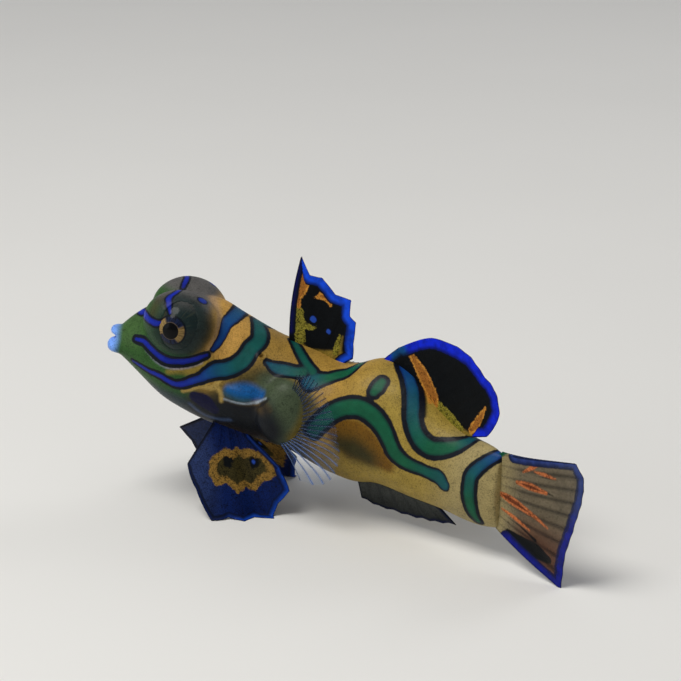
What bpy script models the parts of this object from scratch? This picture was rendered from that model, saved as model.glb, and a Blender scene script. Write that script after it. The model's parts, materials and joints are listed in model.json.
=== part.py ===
"""A life-size mandarinfish, propped on the edges of its pelvic fins and the tip of its tail fin.

The head points along -X and the tail along +X, the left side faces -Y, and Z is up.
Lengths are in millimetres up to move_to_metres, and angles in degrees.
"""

import math

import bmesh
import bpy
import numpy as np
from mathutils import Matrix, Vector

MM = 0.001
GAP = 0.3
STANDARD_LENGTH = 47.5
TOTAL_LENGTH = 62.0

# The mouth's place above the middle of the floor under the fish.
MOUTH_PLACE = (-27.2, -3.9, 17.0)
SPINE_STEP = 0.1
# Station along the spine against its turn towards the left side.
SPINE_TURN = ((0, -21), (12, -17), (20, -7), (27, 5), (33, 16), (40, 21), (46, 25), (54, 25), (62, 19))
# Station against how steeply the spine falls towards the tail.
SPINE_FALL = ((0, 6), (12, 18), (20, 15), (27, 7), (33, 14), (40, 11), (46, 3), (54, -7), (62, -4))
# Station against how far the back leans to the right.
SPINE_LEAN = ((0, 5), (20, 5), (40, 3), (62, 0))

# Station, height of the back above the spine, depth of the belly below it, half width.
BODY_PROFILE = (
    (0.8, 1.5, 1.0, 1.5),
    (2.0, 2.9, 1.8, 2.3),
    (3.6, 4.4, 2.9, 3.2),
    (6.5, 6.2, 4.6, 4.5),
    (9.8, 6.9, 5.5, 5.1),
    (12.4, 6.3, 5.8, 5.4),
    (16.6, 5.5, 5.8, 5.6),
    (21.1, 5.4, 5.5, 5.6),
    (26.3, 5.3, 6.6, 5.4),
    (29.3, 6.9, 6.7, 5.2),
    (32.4, 6.8, 5.8, 4.7),
    (37.1, 5.0, 5.1, 3.7),
    (40.2, 4.3, 4.6, 2.9),
    (45.9, 4.3, 4.1, 1.7),
    (STANDARD_LENGTH, 4.1, 3.7, 0.9),
)
BODY_RINGS = 42
BODY_SIDES = 28
NECK_STATION = 17.7
NECK_TILT = 5
STALK_STATION = 40.8
SLAB_REACH = 12

EYE_STATION = 7.5
EYE_OUT = 3.3
EYE_UP = 4.0
EYE_DOME_HALF_SIZE = (3.5, 4.1, 3.4)
EYE_DOME_AHEAD = 0.4
EYE_BALL_RADIUS = 3.0
EYE_BALL_SHIFT = 0.95
GAZE_FORWARD = 28
GAZE_UP = 6

UPPER_LIP = {"rise": 1.15, "half_width": 1.3, "reach": -0.45, "radius": 0.52}
LOWER_LIP = {"rise": -0.4, "half_width": 1.35, "reach": -0.5, "radius": 0.78}
LIP_SWEEP = 1.5
LIP_TAPER = 0.45
LIP_STEPS = 13
MOUTH_RISE = 0.58
MOUTH_HALF_SIZE = (2.4, 1.35, 0.2)

FLAP_STATION = 15.4
FLAP_OUT = 5.0
FLAP_UP = -0.4
FLAP_HALF_SIZE = (2.3, 1.15, 0.95)
NOSTRIL_STATION = 3.6
NOSTRIL_ANGLE = 52
NOSTRIL_RADIUS = 0.26
GILL_PORE_STATION = 15.6
GILL_PORE_ANGLE = 38
GILL_PORE_RADIUS = 0.42

LOBE_STATION = 21.0
LOBE_OUT = 5.1
LOBE_UP = -0.4
LOBE_HALF_SIZE = (2.9, 2.1, 3.6)

FIN_SINK = 1.0
FIN_ROOT_HALF = 0.36
FIN_HALF = 0.26
FIN_TIP_HALF = 0.14
RAY_RIDGE = 0.13
# Share of the space between rays that a ridge takes at each side of its ray.
RIDGE_SHARE = 0.22
# Shares of a ray's length where the root's thickening ends and the edge's thinning starts.
ROOT_END = 0.33
EDGE_START = 0.75

# Place across the fin, root station, lean of the ray from straight tailwards, ray length.
FIRST_DORSAL_RAYS = (
    (0.0, 18.4, 102, 9.0),
    (0.3, 20.0, 94, 7.5),
    (0.58, 22.0, 72, 6.8),
    (0.84, 23.4, 68, 4.9),
    (1.0, 24.6, 52, 1.2),
)
# How far the first fin's spines bow towards the head, midway along.
FIRST_DORSAL_BOW = 0.4
SECOND_DORSAL_RAYS = (
    (0.0, 28.6, 58, 2.7),
    (0.1, 30.0, 60, 4.9),
    (0.25, 32.3, 53, 7.1),
    (0.5, 35.2, 45, 8.4),
    (0.75, 37.5, 35, 9.0),
    (0.9, 38.8, 28, 7.4),
    (1.0, 39.6, 19, 4.3),
)
SECOND_DORSAL_RAY_COUNT = 9
# Share of the rays' length by which a fin's edge dips between them.
FIRST_DORSAL_NOTCH = 0.1
SECOND_DORSAL_NOTCH = 0.035
ANAL_NOTCH = 0.06
TAIL_NOTCH = 0.02
PECTORAL_NOTCH = 0.03
PELVIC_NOTCH = 0.09
ANAL_RAYS = ((0.0, 28.4, -60, 2.2), (0.5, 32.8, -38, 3.8), (1.0, 37.6, -20, 3.8))
ANAL_RAY_COUNT = 8
# Place across the fin, root height, lean of the ray, ray length.
TAIL_RAYS = (
    (0.0, 4.1, 5, 11.5),
    (0.1, 3.1, 4, 12.3),
    (0.25, 1.7, 2, 12.2),
    (0.5, -0.1, -5, 11.0),
    (0.75, -1.9, -16, 9.7),
    (1.0, -3.5, -28, 9.6),
)
TAIL_RAY_COUNT = 10
TAIL_ROOT_STATION = 46.9
TAIL_ROOT_HALF = 0.5

# Place across the fin, lean of the ray, reach of its tip from the lobe's middle.
LEFT_PECTORAL_RAYS = (
    (0.0, 78, 5.0),
    (0.25, 48, 6.8),
    (0.45, 24, 7.6),
    (0.6, 4, 8.8),
    (0.78, -14, 10.2),
    (0.9, -30, 9.8),
    (1.0, -52, 7.2),
)
# The right fin is folded lower against the flank.
RIGHT_PECTORAL_RAYS = (
    (0.0, 56, 4.3),
    (0.25, 30, 6.0),
    (0.45, 10, 7.4),
    (0.6, -8, 8.8),
    (0.78, -24, 9.6),
    (0.9, -38, 9.0),
    (1.0, -54, 7.0),
)
PECTORAL_RAY_COUNT = 24
PECTORAL_ROOT_SPREAD = 76
PECTORAL_ROOT_SHARE = 0.75
PECTORAL_OUT = 6.1
PECTORAL_FLARE = 0.9

# Place across the fin, root station, turn of the ray outwards from tailwards, droop, ray length.
LEFT_PELVIC_RAYS = (
    (0.0, 13.4, 150, 54, 6.2),
    (0.2, 14.2, 94, 65, 11.1),
    (0.4, 15.0, 58, 67, 11.3),
    (0.6, 15.8, 28, 66, 11.6),
    (0.8, 16.6, 14, 45, 8.8),
    (1.0, 17.2, 14, 38, 5.8),
)
RIGHT_PELVIC_RAYS = (
    (0.0, 13.4, 150, 28, 8.0),
    (0.2, 14.2, 124, 47, 12.0),
    (0.4, 15.0, 104, 55, 11.8),
    (0.6, 15.8, 80, 58, 11.4),
    (0.8, 16.6, 56, 56, 11.2),
    (1.0, 17.2, 35, 47, 7.2),
)
PELVIC_ROOT_ANGLE = -62
PELVIC_SOFTNESS = 0.3
PELVIC_CURL = 0.8

# Scraps this near each other count as one surface.
WELD = 0.0005
# A box that reaches past the fish on every side.
BEYOND = (60, 60, 10)
SHARP_ANGLE = 40
SKIN_COLOUR = (0.62, 0.36, 0.10, 1)
FIN_COLOUR = (0.03, 0.08, 0.55, 1)
LOBE_COLOUR = (0.16, 0.20, 0.09, 1)
EYE_COLOUR = (0.01, 0.01, 0.02, 1)


def through(stations, place):
    """The values at a place on the smooth curve through a table of (place, value, ...)."""
    table = np.array(stations, float)
    x, y = table[:, 0], table[:, 1:]
    slope = np.gradient(y, x, axis=0)
    place = min(max(place, x[0]), x[-1])
    i = min(int(np.searchsorted(x, place, side="right")) - 1, len(x) - 2)
    span = x[i + 1] - x[i]
    t = (place - x[i]) / span
    blend = (2 * t**3 - 3 * t**2 + 1) * y[i] + (3 * t**2 - 2 * t**3) * y[i + 1]
    bend = (t**3 - 2 * t**2 + t) * slope[i] + (t**3 - t**2) * slope[i + 1]
    value = blend + span * bend
    return value if len(value) > 1 else float(value[0])


def straight(stations, place):
    """The values at a place on the straight runs between a table's rows."""
    table = np.array(stations, float)
    return [float(np.interp(place, table[:, 0], column)) for column in table[:, 1:].T]


def directions(station):
    """Unit vectors tailwards, to the left side and up the back, at a station of the spine."""
    turn = math.radians(through(SPINE_TURN, station))
    fall = math.radians(through(SPINE_FALL, station))
    lean = math.radians(through(SPINE_LEAN, station))
    level = Vector((math.cos(turn), -math.sin(turn), 0))
    tail = level * math.cos(fall) + Vector((0, 0, -math.sin(fall)))
    left = Vector((-math.sin(turn), -math.cos(turn), 0))
    up = left.cross(tail)
    return tail, left * math.cos(lean) + up * math.sin(lean), up * math.cos(lean) - left * math.sin(lean)


def trace_spine():
    """The spine's points, one for each SPINE_STEP from the mouth to the end of the tail fin."""
    points = [Vector(MOUTH_PLACE)]
    for i in range(int(TOTAL_LENGTH / SPINE_STEP)):
        points.append(points[-1] + directions((i + 0.5) * SPINE_STEP)[0] * SPINE_STEP)
    return points


SPINE = trace_spine()


def place(station, out, up):
    """The point at a station of the spine, so far to the left side and up the back."""
    t = min(max(station / SPINE_STEP, 0), len(SPINE) - 1.001)
    i = int(t)
    tail, left, back = directions(station)
    centre = SPINE[i].lerp(SPINE[i + 1], t - i)
    beyond = min(station, 0)
    return centre + tail * beyond + left * out + back * up


def body_place(station, angle, swell=0.0):
    """A point of the body's surface, at an angle up from the left flank."""
    top, bottom, half = through(BODY_PROFILE, station)
    side, rise = math.cos(math.radians(angle)), math.sin(math.radians(angle))
    height = top if rise > 0 else bottom
    return place(station, (half + swell) * side, (height + swell) * rise)


def new_object(name, points, faces):
    """A mesh object of these points and faces, with its faces turned outwards."""
    mesh = bpy.data.meshes.new(name)
    mesh.from_pydata([tuple(p) for p in points], [], faces)
    sheet = bmesh.new()
    sheet.from_mesh(mesh)
    bmesh.ops.recalc_face_normals(sheet, faces=sheet.faces)
    sheet.to_mesh(mesh)
    sheet.free()
    solid = bpy.data.objects.new(name, mesh)
    bpy.context.scene.collection.objects.link(solid)
    return solid


def loft(name, rings):
    """A closed skin over rings that all have the same number of points, with flat ends."""
    sides = len(rings[0])
    points = [p for ring in rings for p in ring]
    faces = [tuple(range(sides)), tuple(range(len(points) - sides, len(points)))]
    for r in range(len(rings) - 1):
        for k in range(sides):
            a, b = r * sides + k, r * sides + (k + 1) % sides
            faces.append((a, b, b + sides, a + sides))
    return new_object(name, points, faces)


def body_loft(name, swell=0.0):
    """The whole body from lips to tail root, grown all round by swell."""
    stations = np.linspace(BODY_PROFILE[0][0] - swell, STANDARD_LENGTH + swell, BODY_RINGS)
    angles = [360 * k / BODY_SIDES for k in range(BODY_SIDES)]
    return loft(name, [[body_place(s, a, swell) for a in angles] for s in stations])


def ellipsoid(name, centre, axes, half_size, sides=20):
    """An ellipsoid with its half sizes along three axes."""
    ball = bmesh.new()
    bmesh.ops.create_uvsphere(ball, u_segments=sides, v_segments=sides // 2 + 2, radius=1)
    turn = Matrix([axis * size for axis, size in zip(axes, half_size)]).transposed()
    for vertex in ball.verts:
        vertex.co = centre + turn @ vertex.co
    points = [v.co.copy() for v in ball.verts]
    faces = [tuple(v.index for v in f.verts) for f in ball.faces]
    ball.free()
    return new_object(name, points, faces)


def tube(name, path, radii, sides=10):
    """A round tube with closed ends along a path, with its own radius at each point."""
    rings = []
    for i, (point, radius) in enumerate(zip(path, radii)):
        run = (path[min(i + 1, len(path) - 1)] - path[max(i - 1, 0)]).normalized()
        across = run.cross(Vector((0, 0, 1))).normalized()
        over = across.cross(run)
        turns = [2 * math.pi * k / sides for k in range(sides)]
        rings.append([point + (across * math.cos(t) + over * math.sin(t)) * radius for t in turns])
    return loft(name, rings)


def combine(target, pieces, operation):
    """Joins the pieces to the target, or cuts them from it, with one Boolean, and removes them."""
    group = bpy.data.collections.new("pieces")
    for piece in pieces:
        group.objects.link(piece)
    change = target.modifiers.new("combine", "BOOLEAN")
    change.operation = operation
    change.solver = "EXACT"
    change.operand_type = "COLLECTION"
    change.collection = group
    graph = bpy.context.evaluated_depsgraph_get()
    made = bpy.data.meshes.new_from_object(target.evaluated_get(graph))
    target.modifiers.clear()
    target.data = made
    bpy.data.collections.remove(group)
    for piece in pieces:
        bpy.data.objects.remove(piece)
    return target


def islands(solid):
    """The closed surfaces of a mesh, each as its points and faces, largest first."""
    sheet = bmesh.new()
    sheet.from_mesh(solid.data)
    bmesh.ops.remove_doubles(sheet, verts=sheet.verts, dist=WELD)
    bmesh.ops.triangulate(sheet, faces=sheet.faces)
    sheet.verts.ensure_lookup_table()
    left, found = set(range(len(sheet.verts))), []
    while left:
        stack = [left.pop()]
        group = set(stack)
        while stack:
            for edge in sheet.verts[stack.pop()].link_edges:
                for vertex in edge.verts:
                    if vertex.index not in group:
                        group.add(vertex.index)
                        stack.append(vertex.index)
        left -= group
        order = {index: i for i, index in enumerate(sorted(group))}
        points = [sheet.verts[i].co.copy() for i in order]
        faces = [tuple(order[v.index] for v in f.verts) for f in sheet.faces if f.verts[0].index in group]
        found.append((points, faces))
    sheet.free()
    return sorted(found, key=lambda part: -len(part[0]))


def keep_largest(solid):
    """Drops every scrap of a mesh but its largest closed surface."""
    name = solid.name
    points, faces = islands(solid)[0]
    bpy.data.objects.remove(solid)
    return new_object(name, points, faces)


def lip(name, rise, half_width, reach, radius):
    """A rounded lip round the front of the mouth, thinner towards its corners."""
    steps = np.linspace(-1, 1, LIP_STEPS)
    path = [place(LIP_SWEEP * t * t - reach, half_width * math.sin(t * math.pi / 2), rise) for t in steps]
    return tube(name, path, [radius * (1 - LIP_TAPER * t * t) for t in steps], 8)


def eye_axes(side):
    """An eye's centre line, its own up and its own forward, for side 1 on the left and -1 on the right."""
    tail, left, up = directions(EYE_STATION)
    ahead, rise = math.radians(GAZE_FORWARD), math.radians(GAZE_UP)
    level = left * side * math.cos(ahead) - tail * math.sin(ahead)
    gaze = (level * math.cos(rise) + up * math.sin(rise)).normalized()
    over = (up - gaze * up.dot(gaze)).normalized()
    return gaze, over, gaze.cross(over)


def eye_centre(side):
    return place(EYE_STATION, EYE_OUT * side, EYE_UP)


def eye_ball(name, side, radius):
    gaze, over, across = eye_axes(side)
    centre = eye_centre(side) + gaze * EYE_BALL_SHIFT
    return ellipsoid(name, centre, (over, across, gaze), (radius,) * 3, 18)


def eye_dome(side):
    """The swelling of the head that holds an eye, longer towards the snout."""
    tail, left, up = directions(EYE_STATION)
    centre = eye_centre(side) - tail * EYE_DOME_AHEAD
    return ellipsoid("dome", centre, (left, tail, up), EYE_DOME_HALF_SIZE, 20)


def surface_ball(name, station, angle, radius):
    """A small ball centred on the body's surface."""
    return ellipsoid(name, body_place(station, angle), directions(station), (radius,) * 3, 8)


def head_additions():
    """The forms fused to the head: eye domes, lips and the flap behind each cheek."""
    pieces = [lip("upper_lip", **UPPER_LIP), lip("lower_lip", **LOWER_LIP)]
    for side in (1, -1):
        pieces.append(eye_dome(side))
        flap = place(FLAP_STATION, FLAP_OUT * side, FLAP_UP)
        tail, left, up = directions(FLAP_STATION)
        pieces.append(ellipsoid("flap", flap, (tail, left, up), FLAP_HALF_SIZE, 14))
    return pieces


def head_cuts():
    """What is cut from the head: eye sockets, mouth, nostrils and gill pores."""
    cuts = [ellipsoid("mouth", place(0, 0, MOUTH_RISE), directions(0), MOUTH_HALF_SIZE, 14)]
    for side in (1, -1):
        cuts.append(eye_ball("socket", side, EYE_BALL_RADIUS + GAP))
        turned = 1 if side > 0 else -1
        for station, angle, radius in (
            (NOSTRIL_STATION, NOSTRIL_ANGLE, NOSTRIL_RADIUS),
            (GILL_PORE_STATION, GILL_PORE_ANGLE, GILL_PORE_RADIUS),
        ):
            cuts.append(surface_ball("pore", station, 90 - (90 - angle) * turned, radius))
    return cuts


def box(centre, axes, half_size):
    """A box with its half sizes along three axes."""
    corners = [(i, j, k) for i in (-1, 1) for j in (-1, 1) for k in (-1, 1)]
    turn = Matrix([axis * size for axis, size in zip(axes, half_size)]).transposed()
    faces = [(0, 1, 3, 2), (4, 6, 7, 5), (0, 4, 5, 1), (2, 3, 7, 6), (0, 2, 6, 4), (1, 5, 7, 3)]
    return new_object("box", [centre + turn @ Vector(corner) for corner in corners], faces)


def slab(station, tilt):
    """A thin wall across the body, which parts it there, with its top tilted towards the head."""
    tail, left, up = directions(station)
    turn = Matrix.Rotation(math.radians(tilt), 3, left)
    return box(place(station, 0, 0), (turn @ tail, left, turn @ up), (GAP / 2, SLAB_REACH, SLAB_REACH))


def make_body():
    """Head, trunk and tail stalk, modelled whole and parted with two thin cuts."""
    body = combine(body_loft("body"), head_additions(), "UNION")
    walls = [slab(NECK_STATION, NECK_TILT), slab(STALK_STATION, 0)]
    body = combine(keep_largest(body), head_cuts() + walls, "DIFFERENCE")
    parts = islands(body)[:3]
    bpy.data.objects.remove(body)
    parts.sort(key=lambda part: sum(p.x for p in part[0]) / len(part[0]))
    names = ("head", "trunk", "tail_stalk")
    return [new_object(name, points, faces) for name, (points, faces) in zip(names, parts)]


def plate(name, middle, half_thickness, across, rows):
    """A closed thin plate about the surface middle(u, v), split alike on both faces."""
    along = np.linspace(0, 1, rows)
    centre = np.array([[tuple(middle(u, v)) for v in across] for u in along])
    normal = np.cross(np.gradient(centre, axis=0), np.gradient(centre, axis=1))
    normal /= np.linalg.norm(normal, axis=2, keepdims=True)
    half = np.array([[half_thickness(u, v) for v in across] for u in along])[..., None]
    faces_of_sheet = (centre + normal * half, centre - normal * half)
    points = np.concatenate([side.reshape(-1, 3) for side in faces_of_sheet])
    width, under = len(across), rows * len(across)
    faces = []
    for r in range(rows - 1):
        for c in range(width - 1):
            a = r * width + c
            for b in (0, under):
                faces += [(a + b, a + b + 1, a + b + width + 1), (a + b, a + b + width + 1, a + b + width)]
    grid = np.arange(under).reshape(rows, width)
    rim = [int(i) for i in np.concatenate([grid[0], grid[1:, -1], grid[-1, -2::-1], grid[-2:0:-1, 0]])]
    for a, b in zip(rim, rim[1:] + rim[:1]):
        faces += [(a, b, b + under), (a, b + under, a + under)]
    return new_object(name, points.tolist(), faces)


def fin(name, ray_places, ray, rows, notch, root_half=FIN_ROOT_HALF, pleated=False):
    """A fin whose rays stand as ridges on its membrane, or with pleated as the folds of a fan.
    ray(u, v) is a point of its mid-surface for v across the fin, at share u of that ray's length."""
    across = list(ray_places) + [(a + b) / 2 for a, b in zip(ray_places, ray_places[1:])]
    if not pleated:
        ridge = RIDGE_SHARE * min(b - a for a, b in zip(ray_places, ray_places[1:]))
        across += [v + ridge for v in ray_places[:-1]] + [v - ridge for v in ray_places[1:]]
    across.sort()

    def off_ray(v):
        """0 on a ray and 1 midway between two."""
        k = min(int(np.searchsorted(ray_places, v, side="right")), len(ray_places) - 1)
        span = ray_places[k] - ray_places[k - 1]
        t = (v - ray_places[k - 1]) / span
        return 1 - abs(2 * t - 1)

    def middle(u, v):
        return ray(u * (1 - notch * off_ray(v) ** 0.8), v)

    def half_thickness(u, v):
        flat = root_half + (FIN_HALF - root_half) * min(u / ROOT_END, 1)
        flat += (FIN_TIP_HALF - FIN_HALF) * max(u - EDGE_START, 0) / (1 - EDGE_START)
        on_ray = off_ray(v) < 0.01
        return flat + (RAY_RIDGE * (1 - 0.6 * u) if on_ray else 0)

    return plate(name, middle, half_thickness, across, rows)


def median_ray(rays, top, bow=0.0):
    """Rays that stand in the fish's own midline, on the back if top or under the belly."""

    def ray(u, v):
        station, lean, length = straight(rays, v)
        height = through(BODY_PROFILE, station)[0 if top else 1] - FIN_SINK
        out = (length + FIN_SINK) * u
        lean = math.radians(lean)
        along = station + out * math.cos(lean) - bow * math.sin(math.pi * u)
        return place(along, 0, (height if top else -height) + out * math.sin(lean))

    return ray


def smooth_median_ray(rays, top):
    """As median_ray, with the table's rows joined by smooth curves."""
    places = [k / 20 for k in range(21)]
    return median_ray([(v, *through(rays, v)) for v in places], top)


def tail_ray(u, v):
    """Rays of the tail fin, from the end of the tail stalk."""
    height, lean, length = through(TAIL_RAYS, v)
    lean = math.radians(lean)
    out = length * u
    return place(TAIL_ROOT_STATION + out * math.cos(lean), 0, height + out * math.sin(lean))


def pectoral_ray(rays, side):
    """Rays of the fan behind a lobe, for side 1 on the left and -1 on the right."""

    def ray(u, v):
        lean, reach = through(rays, v)
        root, lean = math.radians(PECTORAL_ROOT_SPREAD * (1 - 2 * v)), math.radians(lean)
        start = Vector((LOBE_HALF_SIZE[0] * math.cos(root), LOBE_HALF_SIZE[2] * math.sin(root)))
        start *= PECTORAL_ROOT_SHARE
        tip = Vector((math.cos(lean), math.sin(lean))) * reach
        along, rise = start.lerp(tip, u)
        return place(LOBE_STATION + along, (PECTORAL_OUT + PECTORAL_FLARE * u * u) * side, LOBE_UP + rise)

    return ray


def pelvic_ray(rays, side):
    """Rays of the fin under the chest, curled outwards where they meet the floor."""

    def ray(u, v):
        station, turn, droop, length = through(rays, v)
        tail, left, up = directions(station)
        level = Vector((tail.x, tail.y, 0)).normalized()
        across = Vector((left.x, left.y, 0)).normalized() * side
        turn, droop = math.radians(turn), math.radians(droop)
        outward = level * math.cos(turn) + across * math.sin(turn)
        run = outward * math.cos(droop) - Vector((0, 0, math.sin(droop)))
        root = body_place(station, PELVIC_ROOT_ANGLE if side > 0 else 180 - PELVIC_ROOT_ANGLE)
        point = root + run * (length * u - FIN_SINK)
        lift = (math.hypot(point.z, PELVIC_SOFTNESS) - point.z) / 2
        return point + outward * lift * PELVIC_CURL + Vector((0, 0, lift))

    return ray


def even(count):
    """Places across a fin from 0 to 1, evenly spaced."""
    return [k / (count - 1) for k in range(count)]


def make_fins():
    """Every fin, cut back to leave the gap to what it grows from."""
    spines = [row[0] for row in FIRST_DORSAL_RAYS]
    first = median_ray(FIRST_DORSAL_RAYS, True, FIRST_DORSAL_BOW)
    second, anal = smooth_median_ray(SECOND_DORSAL_RAYS, True), smooth_median_ray(ANAL_RAYS, False)
    fins = [
        fin("first_dorsal_fin", spines, first, 8, FIRST_DORSAL_NOTCH),
        fin("second_dorsal_fin", even(SECOND_DORSAL_RAY_COUNT), second, 7, SECOND_DORSAL_NOTCH),
        fin("anal_fin", even(ANAL_RAY_COUNT), anal, 5, ANAL_NOTCH),
        fin("tail_fin", even(TAIL_RAY_COUNT), tail_ray, 8, TAIL_NOTCH, TAIL_ROOT_HALF),
    ]
    for side, word, rays in ((1, "left", LEFT_PELVIC_RAYS), (-1, "right", RIGHT_PELVIC_RAYS)):
        fins.append(fin(f"pelvic_fin_{word}", even(len(rays)), pelvic_ray(rays, side), 9, PELVIC_NOTCH))
    for solid in fins:
        combine(solid, [body_loft("swollen", GAP)], "DIFFERENCE")
    return fins


def make_pectorals():
    """The fleshy root lobe and the fan of each pectoral fin."""
    made = []
    for side, word, rays in ((1, "left", LEFT_PECTORAL_RAYS), (-1, "right", RIGHT_PECTORAL_RAYS)):
        centre = place(LOBE_STATION, LOBE_OUT * side, LOBE_UP)
        axes = directions(LOBE_STATION)
        lobe = ellipsoid(f"pectoral_base_{word}", centre, axes, LOBE_HALF_SIZE, 18)
        combine(lobe, [body_loft("swollen", GAP)], "DIFFERENCE")
        swollen = ellipsoid("swollen", centre, axes, [size + GAP for size in LOBE_HALF_SIZE], 18)
        ray = pectoral_ray(rays, side)
        fan = fin(f"pectoral_fin_{word}", even(PECTORAL_RAY_COUNT), ray, 6, PECTORAL_NOTCH, pleated=True)
        combine(fan, [swollen, body_loft("swollen", GAP)], "DIFFERENCE")
        made += [lobe, fan]
    return made


def cut_at_floor(solid):
    """Trims what would reach below the floor, which leaves the small flats that the fish rests on."""
    block = box(Vector((0, 0, -BEYOND[2])), Matrix.Identity(3).row, BEYOND)
    return combine(solid, [block], "DIFFERENCE")


def finish(solid, colour, roughness):
    """Keeps the node one closed body, colours it, shades it smooth and turns it into metres."""
    solid = keep_largest(solid)
    material = bpy.data.materials.new(solid.name)
    material.use_nodes = True
    shader = material.node_tree.nodes["Principled BSDF"]
    shader.inputs["Base Color"].default_value = colour
    shader.inputs["Roughness"].default_value = roughness
    solid.data.materials.append(material)
    solid.data.transform(Matrix.Scale(MM, 4))
    solid.data.shade_smooth()
    solid.data.set_sharp_from_angle(angle=math.radians(SHARP_ANGLE))
    return solid


def main():
    for leftover in list(bpy.data.objects):
        bpy.data.objects.remove(leftover)
    body = make_body()
    fins = make_fins()
    pectorals = make_pectorals()
    eyes = [eye_ball(f"eye_{word}", side, EYE_BALL_RADIUS) for side, word in ((1, "left"), (-1, "right"))]
    resting = ("pelvic_fin_left", "pelvic_fin_right", "tail_fin")
    for solid in fins:
        if solid.name in resting:
            cut_at_floor(solid)
    for solid in body:
        finish(solid, SKIN_COLOUR, 0.35)
    for solid in fins + pectorals:
        finish(solid, LOBE_COLOUR if "base" in solid.name else FIN_COLOUR, 0.35)
    for solid in eyes:
        finish(solid, EYE_COLOUR, 0.1)


main()
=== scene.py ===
"""The looks of a life-size mandarinfish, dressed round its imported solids.

The head points along -X and the tail along +X, the left side faces -Y, and Z is up.
Shapes are worked out in millimetres and turned into metres as each mesh is finished.
Markings are strokes read off the picture and laid on the fish through the camera. They are kept
in the straightened fish, as station along the spine, distance out and height above the spine,
so that both sides carry them alike.
"""

import functools
import json
import math

import bmesh
import bpy
import numpy as np
from bpy.props import FloatProperty, FloatVectorProperty, IntProperty, PointerProperty
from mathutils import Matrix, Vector
from mathutils.bvhtree import BVHTree
from mathutils.kdtree import KDTree

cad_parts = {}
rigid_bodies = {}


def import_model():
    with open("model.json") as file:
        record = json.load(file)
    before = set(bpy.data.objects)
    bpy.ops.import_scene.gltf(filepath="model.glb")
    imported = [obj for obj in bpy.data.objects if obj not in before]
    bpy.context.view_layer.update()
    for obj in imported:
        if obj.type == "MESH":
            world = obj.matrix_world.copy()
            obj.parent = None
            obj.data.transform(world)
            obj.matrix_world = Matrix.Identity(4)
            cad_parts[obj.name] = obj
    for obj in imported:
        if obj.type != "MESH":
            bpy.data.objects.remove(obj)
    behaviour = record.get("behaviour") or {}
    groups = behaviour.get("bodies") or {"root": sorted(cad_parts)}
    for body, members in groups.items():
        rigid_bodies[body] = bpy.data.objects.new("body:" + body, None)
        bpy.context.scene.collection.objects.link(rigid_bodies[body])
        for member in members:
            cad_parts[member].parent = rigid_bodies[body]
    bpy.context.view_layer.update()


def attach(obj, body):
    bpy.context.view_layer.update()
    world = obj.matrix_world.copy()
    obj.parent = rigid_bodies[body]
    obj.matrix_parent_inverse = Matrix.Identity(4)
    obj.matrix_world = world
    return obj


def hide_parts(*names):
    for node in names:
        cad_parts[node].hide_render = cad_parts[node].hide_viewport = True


bl_info = {
    "name": "Mandarinfish",
    "version": (1, 0, 0),
    "blender": (4, 5, 0),
    "location": "View3D > Sidebar > Mandarinfish",
    "description": "Skin, eyes and fins of a life-size mandarinfish",
    "category": "Object",
}

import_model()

MM = 0.001
STANDARD_LENGTH = 47.5
TOTAL_LENGTH = 62.0

# The camera that the picture is read through: size in picture points, millimetres and degrees.
PICTURE = 681
LENS = 152.0
SENSOR = 36.0
CAMERA_TURN = 25
CAMERA_RISE = 18
CAMERA_DISTANCE = 300.0
CAMERA_AIM = (-5.4, 6.2, 16.9)

# The spine, as in the solids: mouth, step, turn to the left, fall tailwards, lean of the back.
MOUTH_PLACE = (-27.2, -3.9, 17.0)
SPINE_STEP = 0.1
SPINE_TURN = ((0, -21), (12, -17), (20, -7), (27, 5), (33, 16), (40, 21), (46, 25), (54, 25), (62, 19))
SPINE_FALL = ((0, 6), (12, 18), (20, 15), (27, 7), (33, 14), (40, 11), (46, 3), (54, -7), (62, -4))
SPINE_LEAN = ((0, 5), (20, 5), (40, 3), (62, 0))

# Station, height of the back above the spine, depth of the belly below it, half width.
BODY_PROFILE = (
    (0.8, 1.5, 1.0, 1.5), (2.0, 2.9, 1.8, 2.3), (3.6, 4.4, 2.9, 3.2), (6.5, 6.2, 4.6, 4.5),
    (9.8, 6.9, 5.5, 5.1), (12.4, 6.3, 5.8, 5.4), (16.6, 5.5, 5.8, 5.6), (21.1, 5.4, 5.5, 5.6),
    (26.3, 5.3, 6.6, 5.4), (29.3, 6.9, 6.7, 5.2), (32.4, 6.8, 5.8, 4.7), (37.1, 5.0, 5.1, 3.7),
    (40.2, 4.3, 4.6, 2.9), (45.9, 4.3, 4.1, 1.7), (STANDARD_LENGTH, 4.1, 3.7, 0.9),
)
BODY_RINGS = 120
BODY_SIDES = 72

EYE_STATION = 7.5
EYE_OUT = 3.3
EYE_UP = 4.0
EYE_DOME_HALF_SIZE = (3.5, 4.1, 3.4)
EYE_DOME_AHEAD = 0.4
EYE_BALL_RADIUS = 3.0
EYE_BALL_SHIFT = 0.95
GAZE_FORWARD = 28
GAZE_UP = 6
IRIS_FORWARD = 14
IRIS_UP = -5
EYE_RIM_REACH = 0.34
EYE_RIM_RISE = 0.14
IRIS_RADIUS = 1.5
PUPIL_RADIUS = 0.87
CORNEA_RISE = 0.16
CORNEA_MARGIN = 0.1
EYE_CLEARANCE = 0.04

UPPER_LIP = {"rise": 1.15, "half_width": 1.3, "reach": -0.45, "radius": 0.52}
LOWER_LIP = {"rise": -0.4, "half_width": 1.35, "reach": -0.5, "radius": 0.78}
LIP_SWEEP = 1.5
LIP_TAPER = 0.45
MOUTH_RISE = 0.58
MOUTH_HALF_SIZE = (2.4, 1.35, 0.2)

FLAP_STATION = 15.4
FLAP_OUT = 5.0
FLAP_UP = -0.4
FLAP_HALF_SIZE = (2.3, 1.15, 0.95)
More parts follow.
